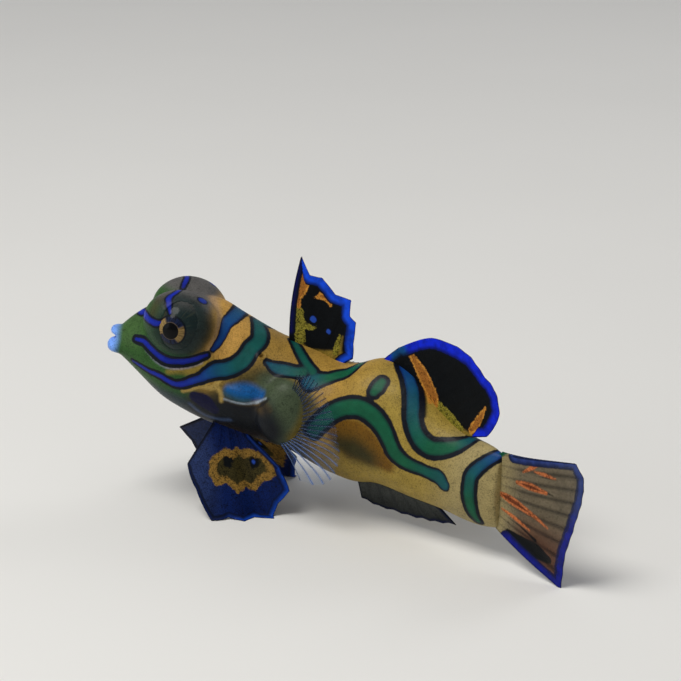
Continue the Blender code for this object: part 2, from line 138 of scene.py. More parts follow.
# Station, angle up from the left flank, radius.
NOSTRIL = (3.6, 52, 0.3)
GILL_PORE = (16.2, 44, 0.3)

LOBE_STATION = 21.0
LOBE_OUT = 5.1
LOBE_UP = -0.4
LOBE_HALF_SIZE = (2.9, 2.1, 3.6)

# Place across the fin, root station, lean of the ray from straight tailwards, ray length.
FIRST_DORSAL_RAYS = (
    (0.0, 18.4, 102, 9.0), (0.3, 20.0, 94, 7.5), (0.58, 22.0, 72, 6.8), (0.84, 23.4, 68, 4.9),
    (1.0, 24.6, 52, 1.2),
)
FIRST_DORSAL_BOW = 0.4
SECOND_DORSAL_RAYS = (
    (0.0, 28.6, 58, 2.7), (0.1, 30.0, 60, 4.9), (0.25, 32.3, 53, 7.1), (0.5, 35.2, 45, 8.4),
    (0.75, 37.5, 35, 9.0), (0.9, 38.8, 28, 7.4), (1.0, 39.6, 19, 4.3),
)
SECOND_DORSAL_RAY_COUNT = 9
ANAL_RAYS = ((0.0, 28.4, -60, 2.2), (0.5, 32.8, -38, 3.8), (1.0, 37.6, -20, 3.8))
ANAL_RAY_COUNT = 8
# Place across the fin, root height, lean of the ray, ray length.
TAIL_RAYS = (
    (0.0, 4.1, 5, 11.5), (0.1, 3.1, 4, 12.3), (0.25, 1.7, 2, 12.2), (0.5, -0.1, -5, 11.0),
    (0.75, -1.9, -16, 9.7), (1.0, -3.5, -28, 9.6),
)
TAIL_RAY_COUNT = 10
TAIL_ROOT_STATION = 46.9
# Place across the fin, lean of the ray, reach of its tip from the lobe's middle.
LEFT_PECTORAL_RAYS = (
    (0.0, 78, 5.0), (0.25, 48, 6.8), (0.45, 24, 7.6), (0.6, 4, 8.8), (0.78, -14, 10.2), (0.9, -30, 9.8),
    (1.0, -52, 7.2),
)
RIGHT_PECTORAL_RAYS = (
    (0.0, 56, 4.3), (0.25, 30, 6.0), (0.45, 10, 7.4), (0.6, -8, 8.8), (0.78, -24, 9.6), (0.9, -38, 9.0),
    (1.0, -54, 7.0),
)
PECTORAL_RAY_COUNT = 24
PECTORAL_ROOT_SPREAD = 76
PECTORAL_ROOT_SHARE = 0.75
PECTORAL_OUT = 6.1
PECTORAL_FLARE = 0.9
# Place across the fin, root station, turn of the ray outwards from tailwards, droop, ray length.
LEFT_PELVIC_RAYS = (
    (0.0, 13.4, 150, 54, 6.2), (0.2, 14.2, 94, 65, 11.1), (0.4, 15.0, 58, 67, 11.3),
    (0.6, 15.8, 28, 66, 11.6), (0.8, 16.6, 14, 45, 8.8), (1.0, 17.2, 14, 38, 5.8),
)
RIGHT_PELVIC_RAYS = (
    (0.0, 13.4, 150, 28, 8.0), (0.2, 14.2, 124, 47, 12.0), (0.4, 15.0, 104, 55, 11.8),
    (0.6, 15.8, 80, 58, 11.4), (0.8, 16.6, 56, 56, 11.2), (1.0, 17.2, 35, 47, 7.2),
)
PELVIC_ROOT_ANGLE = -62
PELVIC_SOFTNESS = 0.3
PELVIC_CURL = 0.8
FIN_SINK = 1.0
# Length and breadth that set a fin's mesh, radii of its rays at root and tip, ripple between them in
# millimetres, and how far its edge dips between rays as a share of their length.
FIRST_DORSAL_FORM = {"size": (10, 9), "radii": (0.17, 0.07), "ripple": 0.05, "notch": 0.1}
SECOND_DORSAL_FORM = {"size": (9, 13), "radii": (0.13, 0.04), "ripple": 0.03, "notch": 0.015}
ANAL_FORM = {"size": (5, 10), "radii": (0.13, 0.05), "ripple": 0.05, "notch": 0.04}
TAIL_FORM = {"size": (13, 12), "radii": (0.2, 0.05), "ripple": 0.01, "notch": 0.008}
PECTORAL_FORM = {"size": (9, 18), "radii": (0.075, 0.03), "ripple": 0.06, "notch": 0.03, "web": (0.08, 0.04)}
PELVIC_FORM = {"size": (12, 22), "radii": (0.2, 0.06), "ripple": 0.0, "notch": 0.09}
TAIL_EXTRA_JOINTS = 6
# Width of each coloured margin: on the front edge, across the free edge from place to width, on the rear.
FIRST_DORSAL_RIM = (0.4, ((0, 0.5), (0.1, 0.9), (0.6, 0.95), (1, 1.0)), 0.8)
SECOND_DORSAL_RIM = (0.8, ((0, 1.0), (0.25, 1.2), (0.5, 1.0), (0.8, 1.1), (1, 1.0)), 0.9)
ANAL_RIM = (0.0, ((0, 0.15), (1, 0.3)), 0.2)
TAIL_RIM = (0.6, ((0, 0.8), (0.4, 0.9), (0.8, 1.0), (1, 1.0)), 0.85)
PELVIC_RIM = (0.1, ((0, 0.3), (0.5, 0.55), (1, 0.55)), 0.3)
# How much narrower the tail fin's dark streaks are on each side than their strokes.
TAIL_DARK_INSET = 0.12
# The gold ring of the pelvic fins: how far inside the field's edge it runs, and half its width.
PELVIC_RING_INSET = 0.4
PELVIC_RING_HALF_WIDTH = 0.45

# Rounds of filling in the creases between the body's forms.
FILLET_ROUNDS = 45
# The angle in radians from level at which the iris's gold parts lie.
IRIS_TILT = 0.1
# The eye's rim lies this far outside the eyeball, the skin ends this far inside it and sinks so deep.
EYE_SEAT = 0.15
EYE_OVERLAP = 0.1
EYE_SOCKET = 0.55
# Strokes: step along them, and how far apart they start to run together, in millimetres.
STROKE_STEP = 0.12
STROKE_BLEND = 0.1
# A distance in millimetres that lies beyond any mark.
FAR_OFF = 5.0
# Points handled at once.
BATCH = 4096
# Rods of the fins: steps along a ray, and where along it they start and end.
ROD_STEPS = 48
ROD_SPAN = (0.04, 0.985)
ROD_SIDES = 8
JOINT_SWELLING = 0.1
# Where along a fin its sheet starts to thin, how far it would take to end and the least that is left.
EDGE_START = 0.93
EDGE_ROUND = 0.075
EDGE_LEAST = 0.12
# How strong the soft clouds are in every broken colour.
CLOUDS = 0.6

# Half the floor's width, and each light's place, size, which power it takes and its colour, in metres.
FLOOR_REACH = 3.0
LIGHTS = (
    ("key", (-0.12, -0.16, 0.42), 0.26, "key_power", (1.0, 0.98, 0.94)),
    ("fill", (-0.32, -0.34, 0.16), 0.3, "fill_power", (0.92, 0.96, 1.0)),
    ("back", (0.22, 0.34, 0.28), 0.22, "fill_power", (1.0, 1.0, 1.0)),
)
SKY_COLOUR = (0.93, 0.95, 1.0, 1)

# Strokes of the outlined bands, read off the picture: across, down, half width, in picture points.
UPPER_CHEEK_BAND = (
    (136, 339, 1.4), (144, 341.5, 2.2), (151, 348.5, 2.6), (158, 355, 2.8), (166, 360, 2.8),
    (178, 361.5, 2.8), (190, 360.5, 2.6), (200, 357.5, 2.2), (207, 355, 1.4),
)
LOWER_CHEEK_BAND = (
    (133, 361, 1.3), (140, 365.5, 1.7), (150, 371.5, 2), (160, 376, 2.4), (168, 381, 2.8), (175, 384, 3),
    (183, 384, 3.2), (192, 381, 3.4), (200, 378.5, 3.8), (208, 374, 5.5), (216, 370.5, 7), (225, 369.5, 7),
    (235, 366, 7.3), (244, 359.5, 8), (251, 349, 7.5), (259, 341, 7.3), (260.5, 332, 7.5), (258, 322, 6),
    (257, 316, 5),
)
BEHIND_EYE_BAND = (
    (240, 311, 6), (233, 317.5, 6), (227, 323, 5.5), (224, 330, 4.5), (221, 338, 3.5), (217, 344.5, 3),
    (213, 349.5, 2),
)
SNOUT_BAND = ((140, 309, 3.6), (145, 315, 3.6), (151, 321, 3), (158, 323.5, 2.6), (163, 322, 1.6))
EYE_TOP_BAND = (
    (174, 281, 3.2), (176, 288, 3), (175, 293, 2.2), (169, 298, 2.6), (169, 306, 2), (170, 313, 1.2),
)
EYE_SPOT = ((202, 300.5, 4), (204, 300.5, 3.6))
EYE_REAR_BAND = ((210, 285, 4), (213, 290, 4), (215, 295, 3))
FLANK_FRONT_BAND = ((267, 362.5, 1.5), (275, 367.5, 5), (285, 370, 6), (295, 372, 5.5), (303, 372, 6))
FLANK_BACK_BAND = ((290, 333, 2.5), (295, 343, 4), (301, 354, 4.5), (307, 364, 4.5), (313, 372, 5))
FLANK_REAR_BAND = (
    (308, 383, 8), (318, 380, 8), (328, 378, 6), (338, 375, 6.5), (348, 372, 7), (357, 366, 5.5),
    (364, 361, 3),
)
FLANK_SPOT = ((382, 382, 4.5), (378, 387, 5.5), (374, 392, 4.5))
BELLY_ARC = (
    (313, 430, 8), (322, 421, 8.5), (330, 414, 8.5), (340, 409, 8), (350, 407, 8), (360, 408, 8),
    (368, 412, 8), (377, 420, 8), (384, 430, 7.5), (389, 441, 7), (394, 452, 7), (401, 459.5, 6.5),
    (410, 465, 5.5), (420, 469, 5), (430, 473.5, 5.5), (439, 478, 7), (444, 485, 6),
)
BACK_LOOP = (
    (398, 349, 5.5), (402, 360, 6), (406, 370, 6), (410, 380, 6), (412.5, 390, 6.5), (413, 403, 6.5),
    (412.5, 417, 6.5), (415.5, 431, 6.5), (422, 442, 7), (431, 448, 7), (441, 448.5, 7), (451, 447, 6.5),
    (461, 444, 6), (470, 440, 5.5), (475, 437, 4),
)
STALK_BAND = (
    (508, 448, 5), (496, 456, 5), (486, 462, 5), (478, 468, 5.5), (471, 476, 6), (469, 486, 6),
    (468.5, 496, 6), (470, 505, 5.5), (473, 514, 4.5), (478, 521, 3),
)
# Each band with its tones from start to end, from 0 green over 0.5 teal to 1 blue, and its outline widths.
BANDS = (
    (UPPER_CHEEK_BAND, (1, 1), (0.38, 0.45, 0.31)),
    (LOWER_CHEEK_BAND, (0.9, 1, 1, 1, 0.7, 0.3, 0.12, 0.1, 0.1, 0.12, 0.25), (0.25, 0.35, 0.4, 0.43, 0.43)),
    (BEHIND_EYE_BAND, (0.35, 0.5, 0.6), (0.33, 0.15, 0.15)),
    (SNOUT_BAND, (1, 1), (0.19, 0.25)),
    (EYE_TOP_BAND, (1, 1), (0.19, 0.19)),
    (EYE_SPOT, (0.85, 0.85), (0.15, 0.15)),
    (EYE_REAR_BAND, (0.9, 0.9), (0.15, 0.15)),
    (FLANK_FRONT_BAND, (0.25, 0.05), (0.35, 0.43)),
    (FLANK_BACK_BAND, (0.1, 0.05), (0.35, 0.38)),
    (FLANK_REAR_BAND, (0.25, 0, 0, 0), (0.4, 0.4, 0.35)),
    (FLANK_SPOT, (0, 0), (0.4, 0.4)),
    (BELLY_ARC, (0.1, 0, 0, 0, 0.15), (0.45, 0.45, 0.43, 0.15)),
    (BACK_LOOP, (0.75, 0.55, 0.25, 0.1, 0, 0, 0.3), (0.5, 0.58, 0.55, 0.47)),
    (STALK_BAND, (0.6, 0.3, 0.1, 0, 0), (0.33, 0.43, 0.38)),
)

# Soft strokes of ground colour and painted shade, in painting order: colour, strength, softness in
# millimetres, stroke.
SOFT_MARKS = (
    ("cheek", 0.9, 1.8, ((228, 304, 6), (238, 330, 12), (222, 352, 6))),
    ("eye_skin", 0.9, 1.5, ((176, 300, 8), (190, 318, 20), (184, 342, 14))),
    ("eye_olive", 0.7, 0.9, ((158, 300, 4), (153, 310, 4), (151, 318, 3))),
    ("eye_strip", 0.8, 0.7, ((212, 296, 1), (218, 312, 2.5), (217, 332, 2.5), (210, 350, 1))),
    ("face_gold", 0.9, 0.45, ((168, 372, 1), (180, 370, 2.5), (194, 371, 4), (206, 364, 3.5), (212, 360, 1))),
    ("gold_oval", 1.0, 0.7, ((336, 430, 12), (350, 438, 20), (366, 447, 18), (386, 464, 8))),
    ("dark_olive", 0.95, 1.6, ((340, 444, 6), (354, 450, 10), (368, 458, 7))),
    # Dark olive skin in front of the lobe, deepened with painted shade in the crease there.
    ("lobe_front_olive_and_shade", 0.95, 1.8, ((216, 396, 5), (236, 386, 8), (258, 378, 9), (276, 380, 10))),
    ("lobe", 1.0, 1.1, ((268, 386, 12), (284, 398, 22), (291, 412, 26), (282, 428, 22))),
    ("lobe_rim", 1.0, 1.0, ((300, 384, 1), (308, 402, 4), (305, 424, 7), (294, 438, 5))),
    # Painted shade: dark strokes below the flap and the lobe, where shade falls.
    ("shadow", 1.0, 1.6, ((204, 410, 10), (226, 412, 14), (250, 420, 18), (268, 430, 16))),
    ("shadow", 0.9, 1.4, ((266, 412, 6), (262, 402, 3))),
    ("jaw_gold", 0.95, 0.22, ((183, 391, 1.8), (200, 386, 2.6), (214, 387, 2.2), (219, 379, 2.4))),
    ("jaw_gold", 0.9, 0.25, ((215, 386, 1.5), (221, 393, 2.4), (221, 401, 1.5))),
    ("navy", 1.0, 0.12, ((195, 397, 6.5), (205, 402, 9), (213, 409, 6.5))),
    ("gill_stripe", 0.8, 0.4, ((190, 404, 1), (205, 415, 1.5), (218, 419, 1.5), (230, 420, 1))),
    ("flap", 1.0, 0.6, ((229, 391, 5), (241, 392, 8), (252, 393, 7), (262, 395, 3))),
    ("flap_front", 0.8, 0.6, ((225, 394, 2), (234, 399, 3), (248, 401, 2))),
    ("outline", 0.8, 0.25,
     ((226, 404, 0.8), (238, 407.5, 1.5), (251, 408, 1.8), (262, 405, 1.2), (269, 399, 0.6))),
    # Pale lower edge of the flap, partly a painted highlight along it.
    ("pale", 0.8, 0.16,
     ((224, 399, 0.4), (238, 403, 1), (250, 403.5, 1.1), (258, 402, 1), (266, 398.5, 0.5))),
    ("lilac", 0.7, 0.16,
     ((146, 350, 0.4), (158, 362.5, 0.9), (170, 367.8, 1), (186, 367.5, 0.9), (202, 363, 0.4))),
    ("fin_black", 1.0, 0.25,
     ((408, 352, 3), (416, 366, 3.5), (420, 380, 4), (422, 392, 4), (423, 404, 3.5), (424, 416, 2))),
    ("fin_gold", 0.9, 0.2, ((417, 366, 1), (424, 380, 2.5), (428, 392, 3), (430, 402, 2))),
)
EYE_MARKS = (
    ("brow", 0.7, 1.2, ((178, 292, 4), (190, 290, 5), (203, 296, 4))),
    ("eye_olive", 0.8, 0.8, ((162, 298, 3), (160, 308, 4), (159, 318, 3))),
)

# Strokes on the fins, in picture points as above.
FIRST_DORSAL_GOLD = (
    ((304, 271, 5), (304.5, 280, 7), (302, 289, 6), (299, 297, 4), (299, 306, 3)),
    ((316, 297, 1.5), (322, 296, 3.5), (328, 298, 4.2), (331, 305, 2.5)),
)
FIRST_DORSAL_OLIVE = (
    ((298, 308, 5), (299, 318, 6.5), (299, 328, 7), (301, 338, 6)),
    ((305, 327, 2.2), (310, 327, 2.6), (315, 328, 2)),
    ((340, 336, 2), (338, 344, 4), (336, 352, 4)),
)
FIRST_DORSAL_TAN = (
    ((343, 337, 1.5), (341, 345, 2.5), (339, 351, 4)),
    ((300, 346, 5), (306, 352, 6), (320, 357, 8), (335, 358, 8), (349, 360, 5)),
)
FIRST_DORSAL_SPOTS = (((313, 318.5, 3), (314, 319.5, 3)), ((328.5, 331, 2.4), (329.5, 331.8, 2.4)))
SECOND_DORSAL_GOLD = (
    ((411, 352, 3), (417, 363, 5), (424, 375, 7), (430, 387, 7.5), (435, 397, 6), (437, 405, 3)),
    ((486, 408, 2), (482, 416, 4.5), (477, 424, 6), (472, 430, 4)),
)
SECOND_DORSAL_OLIVE = (((436, 404, 5), (444, 411, 6), (454, 420, 5), (462, 428, 3)),)
SECOND_DORSAL_BASE = (((426, 410, 4), (432, 416, 7), (444, 425, 8), (458, 432, 7), (472, 438, 4)),)
TAIL_GOLD = (
    ((518, 482, 2), (530, 486, 4), (547, 493, 2)),
    ((500, 492, 2), (511, 499, 4.5), (524, 508, 3.6), (536, 517, 2.2), (548, 528, 1)),
    ((524, 472, 1), (534, 467, 2.4), (542, 463, 1)),
    ((536, 472, 1), (546, 475, 2), (556, 479, 1)),
    ((503, 508, 1), (515, 517, 2), (530, 530, 1)),
)
TAIL_DARK = (
    ((533, 475, 1), (548, 478, 2), (562, 481, 1)),
    ((536, 488, 1), (548, 493, 2.2), (558, 498, 1)),
    ((509, 531, 4), (524, 543, 8), (538, 552, 9), (549, 560, 5)),
    ((506, 515, 1), (520, 525, 2), (536, 540, 3)),
)
PELVIC_OVAL = ((227, 470, 19), (243, 472, 22), (259, 470, 18))
PELVIC_SPOTS = (((256, 463, 6), (256, 466, 6)), ((228, 459, 5), (228, 467, 5)))
PELVIC_CENTRES = (((255, 464.5, 1.6), (256, 465.5, 1.6)),)


# The straightened fish and the bent one.

def through(stations, where):
    """The values at one place or many on the smooth curve through a table of (place, value, ...)."""
    table = np.array(stations, float)
    x, y = table[:, 0], table[:, 1:]
    slope = np.gradient(y, x, axis=0)
    where = np.clip(np.asarray(where, float), x[0], x[-1])
    i = np.clip(np.searchsorted(x, where, side="right") - 1, 0, len(x) - 2)
    span = (x[i + 1] - x[i])[..., None]
    t = (where[..., None] - x[i][..., None]) / span
    blend = (2 * t**3 - 3 * t**2 + 1) * y[i] + (3 * t**2 - 2 * t**3) * y[i + 1]
    bend = (t**3 - 2 * t**2 + t) * slope[i] + (t**3 - t**2) * slope[i + 1]
    value = blend + span * bend
    return value if y.shape[1] > 1 else value[..., 0]


def straight(stations, where):
    """The values on the straight runs between a table's rows."""
    table = np.array(stations, float)
    return np.stack([np.interp(where, table[:, 0], column) for column in table[:, 1:].T], axis=-1)


def directions(station):
    """Unit vectors tailwards, to the left side and up the back, at stations of the spine."""
    tables = (SPINE_TURN, SPINE_FALL, SPINE_LEAN)
    turn, fall, lean = (np.radians(through(table, station))[..., None] for table in tables)
    zero, one = np.zeros_like(turn), np.ones_like(turn)
    level = np.concatenate([np.cos(turn), -np.sin(turn), zero], axis=-1)
    tail = level * np.cos(fall) - np.concatenate([zero, zero, one], axis=-1) * np.sin(fall)
    left = np.concatenate([-np.sin(turn), -np.cos(turn), zero], axis=-1)
    up = np.cross(left, tail)
    return tail, left * np.cos(lean) + up * np.sin(lean), up * np.cos(lean) - left * np.sin(lean)


def trace_spine():
    """The spine's points, one for each SPINE_STEP from the mouth to the end of the tail fin."""
    steps = (np.arange(int(TOTAL_LENGTH / SPINE_STEP)) + 0.5) * SPINE_STEP
    runs = directions(steps)[0] * SPINE_STEP
    return np.concatenate([[MOUTH_PLACE], np.array(MOUTH_PLACE) + np.cumsum(runs, axis=0)])


SPINE = trace_spine()
SPINE_PLACES = np.arange(len(SPINE)) * SPINE_STEP


def place(station, out, up):
    """Points of the bent fish: so far along the spine, to the left side and up the back."""
    station, out, up = (np.asarray(value, float)[..., None] for value in (station, out, up))
    tail, left, back = directions(station[..., 0])
    centre = np.stack([np.interp(station[..., 0], SPINE_PLACES, SPINE[:, k]) for k in range(3)], axis=-1)
    return centre + tail * np.minimum(station, 0) + left * out + back * up


def unbend(points):
    """Station, distance to the left and height above the spine of points of the bent fish."""
    station = SPINE_PLACES[::4][nearest(points, SPINE[::4])[1]]
    for _ in range(3):
        tail = directions(station)[0]
        station += ((points - place(station, 0, 0)) * tail).sum(-1)
    tail, left, back = directions(station)
    from_spine = points - place(station, 0, 0)
    return np.stack([station, (from_spine * left).sum(-1), (from_spine * back).sum(-1)], axis=-1)


def body_offsets(station, angle, swell=0.0):
    """Distance out and height of the body's surface at an angle up from the left flank."""
    profile = through(BODY_PROFILE, station)
    side, rise = np.cos(np.radians(angle)), np.sin(np.radians(angle))
    height = np.where(rise > 0, profile[..., 0], profile[..., 1])
    return (profile[..., 2] + swell) * side, (height + swell) * rise


def body_place(station, angle, swell=0.0):
    return place(station, *body_offsets(station, angle, swell))


# Meshes.

def new_mesh(name, points, faces, scale=1.0):
    """A mesh of these points and faces, with its faces turned outwards."""
    mesh = bpy.data.meshes.new(name)
    mesh.from_pydata((np.asarray(points) * scale).tolist(), [], [list(face) for face in faces])
    shell = bmesh.new()
    shell.from_mesh(mesh)
    bmesh.ops.recalc_face_normals(shell, faces=shell.faces)
    shell.to_mesh(mesh)
    shell.free()
    return mesh


def new_object(name, mesh):
    made = bpy.data.objects.new(name, mesh)
    bpy.context.scene.collection.objects.link(made)
    return made


def numbered(grid):
    """The number of each point of a grid, in rows."""
    return np.arange(grid.shape[0] * grid.shape[1]).reshape(grid.shape[:2])


def squares(index):
    """The square faces between the rows and columns of numbered points."""
    return np.stack([index[:-1, :-1], index[:-1, 1:], index[1:, 1:], index[1:, :-1]], axis=-1).reshape(-1, 4)


def loft(rings):
    """Points and faces of a closed skin over rings that all have the same number of points."""
    rings = np.asarray(rings)
    index = numbered(rings)
    quads = squares(np.column_stack([index, index[:, 0]])).tolist()
    return rings.reshape(-1, 3), quads + [index[0].tolist(), index[-1].tolist()]


def ellipsoid(centre, axes, half_size, sides=48):
    """Points and faces of an ellipsoid with its half sizes along three axes."""
    ball = bmesh.new()
    bmesh.ops.create_uvsphere(ball, u_segments=sides, v_segments=sides // 2, radius=1)
    points = np.array([v.co for v in ball.verts])
    faces = [[v.index for v in f.verts] for f in ball.faces]
    ball.free()
    turned = sum(points[:, k:k + 1] * np.asarray(axes[k]) * half_size[k] for k in range(3))
    return np.asarray(centre) + turned, faces


def tube(path, radii, sides=24):
    """Points and faces of a round tube along a path, with its own radius at each point."""
    path = np.asarray(path)
    run = np.gradient(path, axis=0)
    run /= np.linalg.norm(run, axis=1, keepdims=True)
    across = np.cross(run, (0, 0, 1))
    across /= np.linalg.norm(across, axis=1, keepdims=True)
    over = np.cross(across, run)
    turn = np.linspace(0, 2 * math.pi, sides, endpoint=False)[None, :, None]
    ring = across[:, None] * np.cos(turn) + over[:, None] * np.sin(turn)
    return loft(path[:, None] + ring * np.asarray(radii)[:, None, None])


def sheet_normals(centre):
    """The way each point of a grid faces."""
    normal = np.cross(np.gradient(centre, axis=0), np.gradient(centre, axis=1))
    return normal / np.maximum(np.linalg.norm(normal, axis=2, keepdims=True), 1e-9)


def sheet(centre, half):
    """Points and faces of a closed thin sheet about a grid of points, half as thick to each side."""
    normal = sheet_normals(centre) * half[..., None]
    points = np.concatenate([(centre + normal).reshape(-1, 3), (centre - normal).reshape(-1, 3)])
    index = numbered(centre)
    quads = squares(index)
    rim = np.concatenate([index[0], index[1:, -1], index[-1, -2::-1], index[-2:0:-1, 0]])
    after = np.roll(rim, -1)
    under = index.size
    wall = np.stack([rim, after, after + under, rim + under], axis=-1)
    return points, np.concatenate([quads[:, ::-1], quads + under, wall]).tolist()


def combine(base, pieces, operation):
    """The base joined with the pieces, or cut by them, each given as points and faces."""
    target = new_object("target", new_mesh("target", *base))
    group = bpy.data.collections.new("pieces")
    for points, faces in pieces:
        group.objects.link(bpy.data.objects.new("piece", new_mesh("piece", points, faces)))
    change = target.modifiers.new("combine", "BOOLEAN")
    change.operation = operation
    change.solver = "EXACT"
    change.operand_type = "COLLECTION"
    change.collection = group
    result = form_of(with_modifiers(target))
    for piece in list(group.objects) + [target]:
        bpy.data.objects.remove(piece)
    bpy.data.collections.remove(group)
    return result


def voxel_mesh(points, faces, size):
    """The same closed form as an even mesh of small squares."""
    solid = new_object("solid", new_mesh("solid", points, faces))
    change = solid.modifiers.new("remesh", "REMESH")
    change.mode = "VOXEL"
    change.voxel_size = size
    change.adaptivity = 0
    made = with_modifiers(solid)
    bpy.data.objects.remove(solid)
    return made


def with_modifiers(made):
    """The mesh of an object with its modifiers applied."""
    return bpy.data.meshes.new_from_object(made.evaluated_get(bpy.context.evaluated_depsgraph_get()))


def read_rows(items, key, width, kind=float):
    """A row of numbers for each of a mesh's items."""
    rows = np.empty(len(items) * width, kind)
    items.foreach_get(key, rows)
    return rows.reshape(-1, width)


def read_points(mesh):
    return read_rows(mesh.vertices, "co", 3)


def read_normals(mesh):
    return read_rows(mesh.vertex_normals, "vector", 3)


def form_of(mesh):
    """A mesh's points and faces."""
    return read_points(mesh), [list(face.vertices) for face in mesh.polygons]


def write_points(mesh, points):
    mesh.vertices.foreach_set("co", np.asarray(points, np.float32).ravel())
    mesh.update()


def relax(points, edges, times, share, weight=None):
    """The points moved towards their neighbours, so many times."""
    here, other = edges.ravel(), edges[:, ::-1].ravel()
    count = np.bincount(here, minlength=len(points))[:, None]
    for _ in range(times):
        total = np.stack([np.bincount(here, points[other, k], len(points)) for k in range(3)], axis=1)
        step = (total / count - points) * share
        points = points + (step if weight is None else step * weight[:, None])
    return points


def set_field(mesh, name, kind, key, values):
    """Stores a value for each point, for the materials to read."""
    attribute = mesh.attributes.new(name, kind, "POINT")
    attribute.data.foreach_set(key, np.asarray(values, np.float32).ravel())


def set_values(mesh, **fields):
    """Stores one number for each point under each name."""
    for name, values in fields.items():
        set_field(mesh, name, "FLOAT", "value", values)


def set_colour(mesh, name, colours):
    """Stores a colour for each point."""
    set_field(mesh, name, "FLOAT_COLOR", "color", np.column_stack([colours, np.ones(len(colours))]))


def ease(values, low, high):
    """0 at low and before it, 1 at high and past it, and smooth between. Low may be the larger."""
    t = np.clip((np.asarray(values, float) - low) / (high - low), 0, 1)
    return t * t * (3 - 2 * t)


# Markings: routes read in the picture, cast through the camera onto the fish, the same on both sides.

def camera_axes(turn=math.radians(CAMERA_TURN), rise=math.radians(CAMERA_RISE)):
    """Unit vectors from the camera's aim back to the camera, to the picture's right and up."""
    back = np.array([math.sin(turn) * math.cos(rise), -math.cos(turn) * math.cos(rise), math.sin(rise)])
    right = np.array([math.cos(turn), math.sin(turn), 0.0])
    return back, right, np.cross(back, right)


def cast(route, tree):
    """A route in the picture as a stroke on the fish: station, out, up and half width in millimetres.
    A point of the route beside the surface goes to the surface's nearest point."""
    table = np.array(route, float)
    back, right, up = camera_axes()
    focal = LENS / SENSOR * PICTURE
    across, down = (table[:, :2].T - PICTURE / 2) / focal
    ways = right * across[:, None] - up * down[:, None] - back
    eye = np.array(CAMERA_AIM) + back * CAMERA_DISTANCE
    reaches = CAMERA_DISTANCE + np.linspace(-TOTAL_LENGTH / 2, TOTAL_LENGTH / 2, 200)
    hits = []
    for way in ways:
        hit = tree.ray_cast(eye, way)[0]
        if hit is None:
            nearby = [tree.find_nearest(eye + way * reach) for reach in reaches]
            hit = min(nearby, key=lambda found: found[3])[0]
        hits.append(hit)
    hits = np.array(hits)
    half = table[:, 2] * ((eye - hits) @ back) / focal
    return np.column_stack([unbend(hits), half])


def cast_flat(route, tree):
    """A route cast onto a fin in the fish's midline: station, up and half width."""
    return cast(route, tree)[:, [0, 2, 3]]


def grid_tree(grid):
    """A tree to cast onto, of a grid of points."""
    return BVHTree.FromPolygons(grid.reshape(-1, 3).tolist(), squares(numbered(grid)).tolist())


@functools.cache
def middle_tree():
    """The fish's middle surface, on which the fins of its midline lie."""
    station, up = np.meshgrid(np.arange(0, TOTAL_LENGTH + 0.1, 0.5), np.arange(-12, 20, 0.5), indexing="ij")
    return grid_tree(place(station, 0, up))


@functools.cache
def body_tree(size):
    """The skin and the eyeballs, with the skin's mesh of this edge length."""
    points, faces = skin_form(size)
    points, faces = [points], list(faces)
    for side in (1, -1):
        ball, rounds = ellipsoid(eye_centre(side), np.eye(3), (EYE_BALL_RADIUS,) * 3, 96)
        start = sum(len(part) for part in points)
        points.append(ball)
        faces += [[i + start for i in face] for face in rounds]
    return BVHTree.FromPolygons(np.concatenate(points).tolist(), faces)


def trace(table):
    """Points along the smooth curve through a table of points, with what else each row holds."""
    table = np.asarray(table, float)
    spread = table[:, :3] if table.shape[1] > 3 else table[:, :2]
    run = np.concatenate([[0], np.cumsum(np.linalg.norm(np.diff(spread, axis=0), axis=1))])
    return through(np.column_stack([run, table]), np.arange(0, run[-1] + STROKE_STEP, STROKE_STEP))


def nearest(points, curve):
    """Distance from each point to the nearest of the curve's points, and which that is."""
    away, which = np.empty(len(points)), np.empty(len(points), int)
    for start in range(0, len(points), BATCH):
        part = points[start:start + BATCH]
        square = (part**2).sum(1)[:, None] + (curve**2).sum(1)[None] - 2 * part @ curve.T
        which[start:start + BATCH] = square.argmin(1)
        away[start:start + BATCH] = np.sqrt(np.maximum(square.min(1), 0))
    return away, which


def closeness(beyond):
    """How much a stroke counts at a distance beyond its edge: 1 at the edge and more inside."""
    return np.exp(-np.clip(beyond / STROKE_BLEND, -60, 60))


def beyond_strokes(points, tables):
    """How far each point lies outside the nearest stroke's edge: below 0 is inside a stroke.
    A stroke's last column is its half width, and its strokes run together softly."""
    total = np.zeros(len(points))
    for table in tables:
        curve = trace(table)
        away, which = nearest(points, curve[:, :-1])
        total += closeness(away - curve[which, -1])
    return -STROKE_BLEND * np.log(total)


def band_fields(points, bands):
    """Distance beyond the nearest band's edge, and its blueness and outline width there."""
    total, blue, ink = np.zeros((3, len(points)))
    for table, tones, inks in bands:
        curve = trace(table)
        share = np.linspace(0, 1, len(curve))
        away, which = nearest(points, curve[:, :-1])
        weight = closeness(away - curve[which, -1])
        total += weight
        blue += weight * through_shares(tones, share)[which]
        ink += weight * through_shares(inks, share)[which]
    return -STROKE_BLEND * np.log(total), blue / total, ink / total


def through_shares(values, share):
    """Values spaced evenly from start to end, read at shares of the way."""
    return np.interp(share, np.linspace(0, 1, len(values)), values)


# Skin and eyes.

def eye_axes(side, forward=GAZE_FORWARD, upward=GAZE_UP):
    """An eye's centre line, its own up and its own forward, for side 1 on the left and -1 on the right."""
    tail, left, up = directions(EYE_STATION)
    ahead, rise = math.radians(forward), math.radians(upward)
    level = left * side * math.cos(ahead) - tail * math.sin(ahead)
    gaze = level * math.cos(rise) + up * math.sin(rise)
    gaze /= np.linalg.norm(gaze)
    over = up - gaze * (up @ gaze)
    over /= np.linalg.norm(over)
    return gaze, over, np.cross(gaze, over)


def eye_centre(side):
    """The middle of the eyeball."""
    return place(EYE_STATION, EYE_OUT * side, EYE_UP) + eye_axes(side)[0] * EYE_BALL_SHIFT


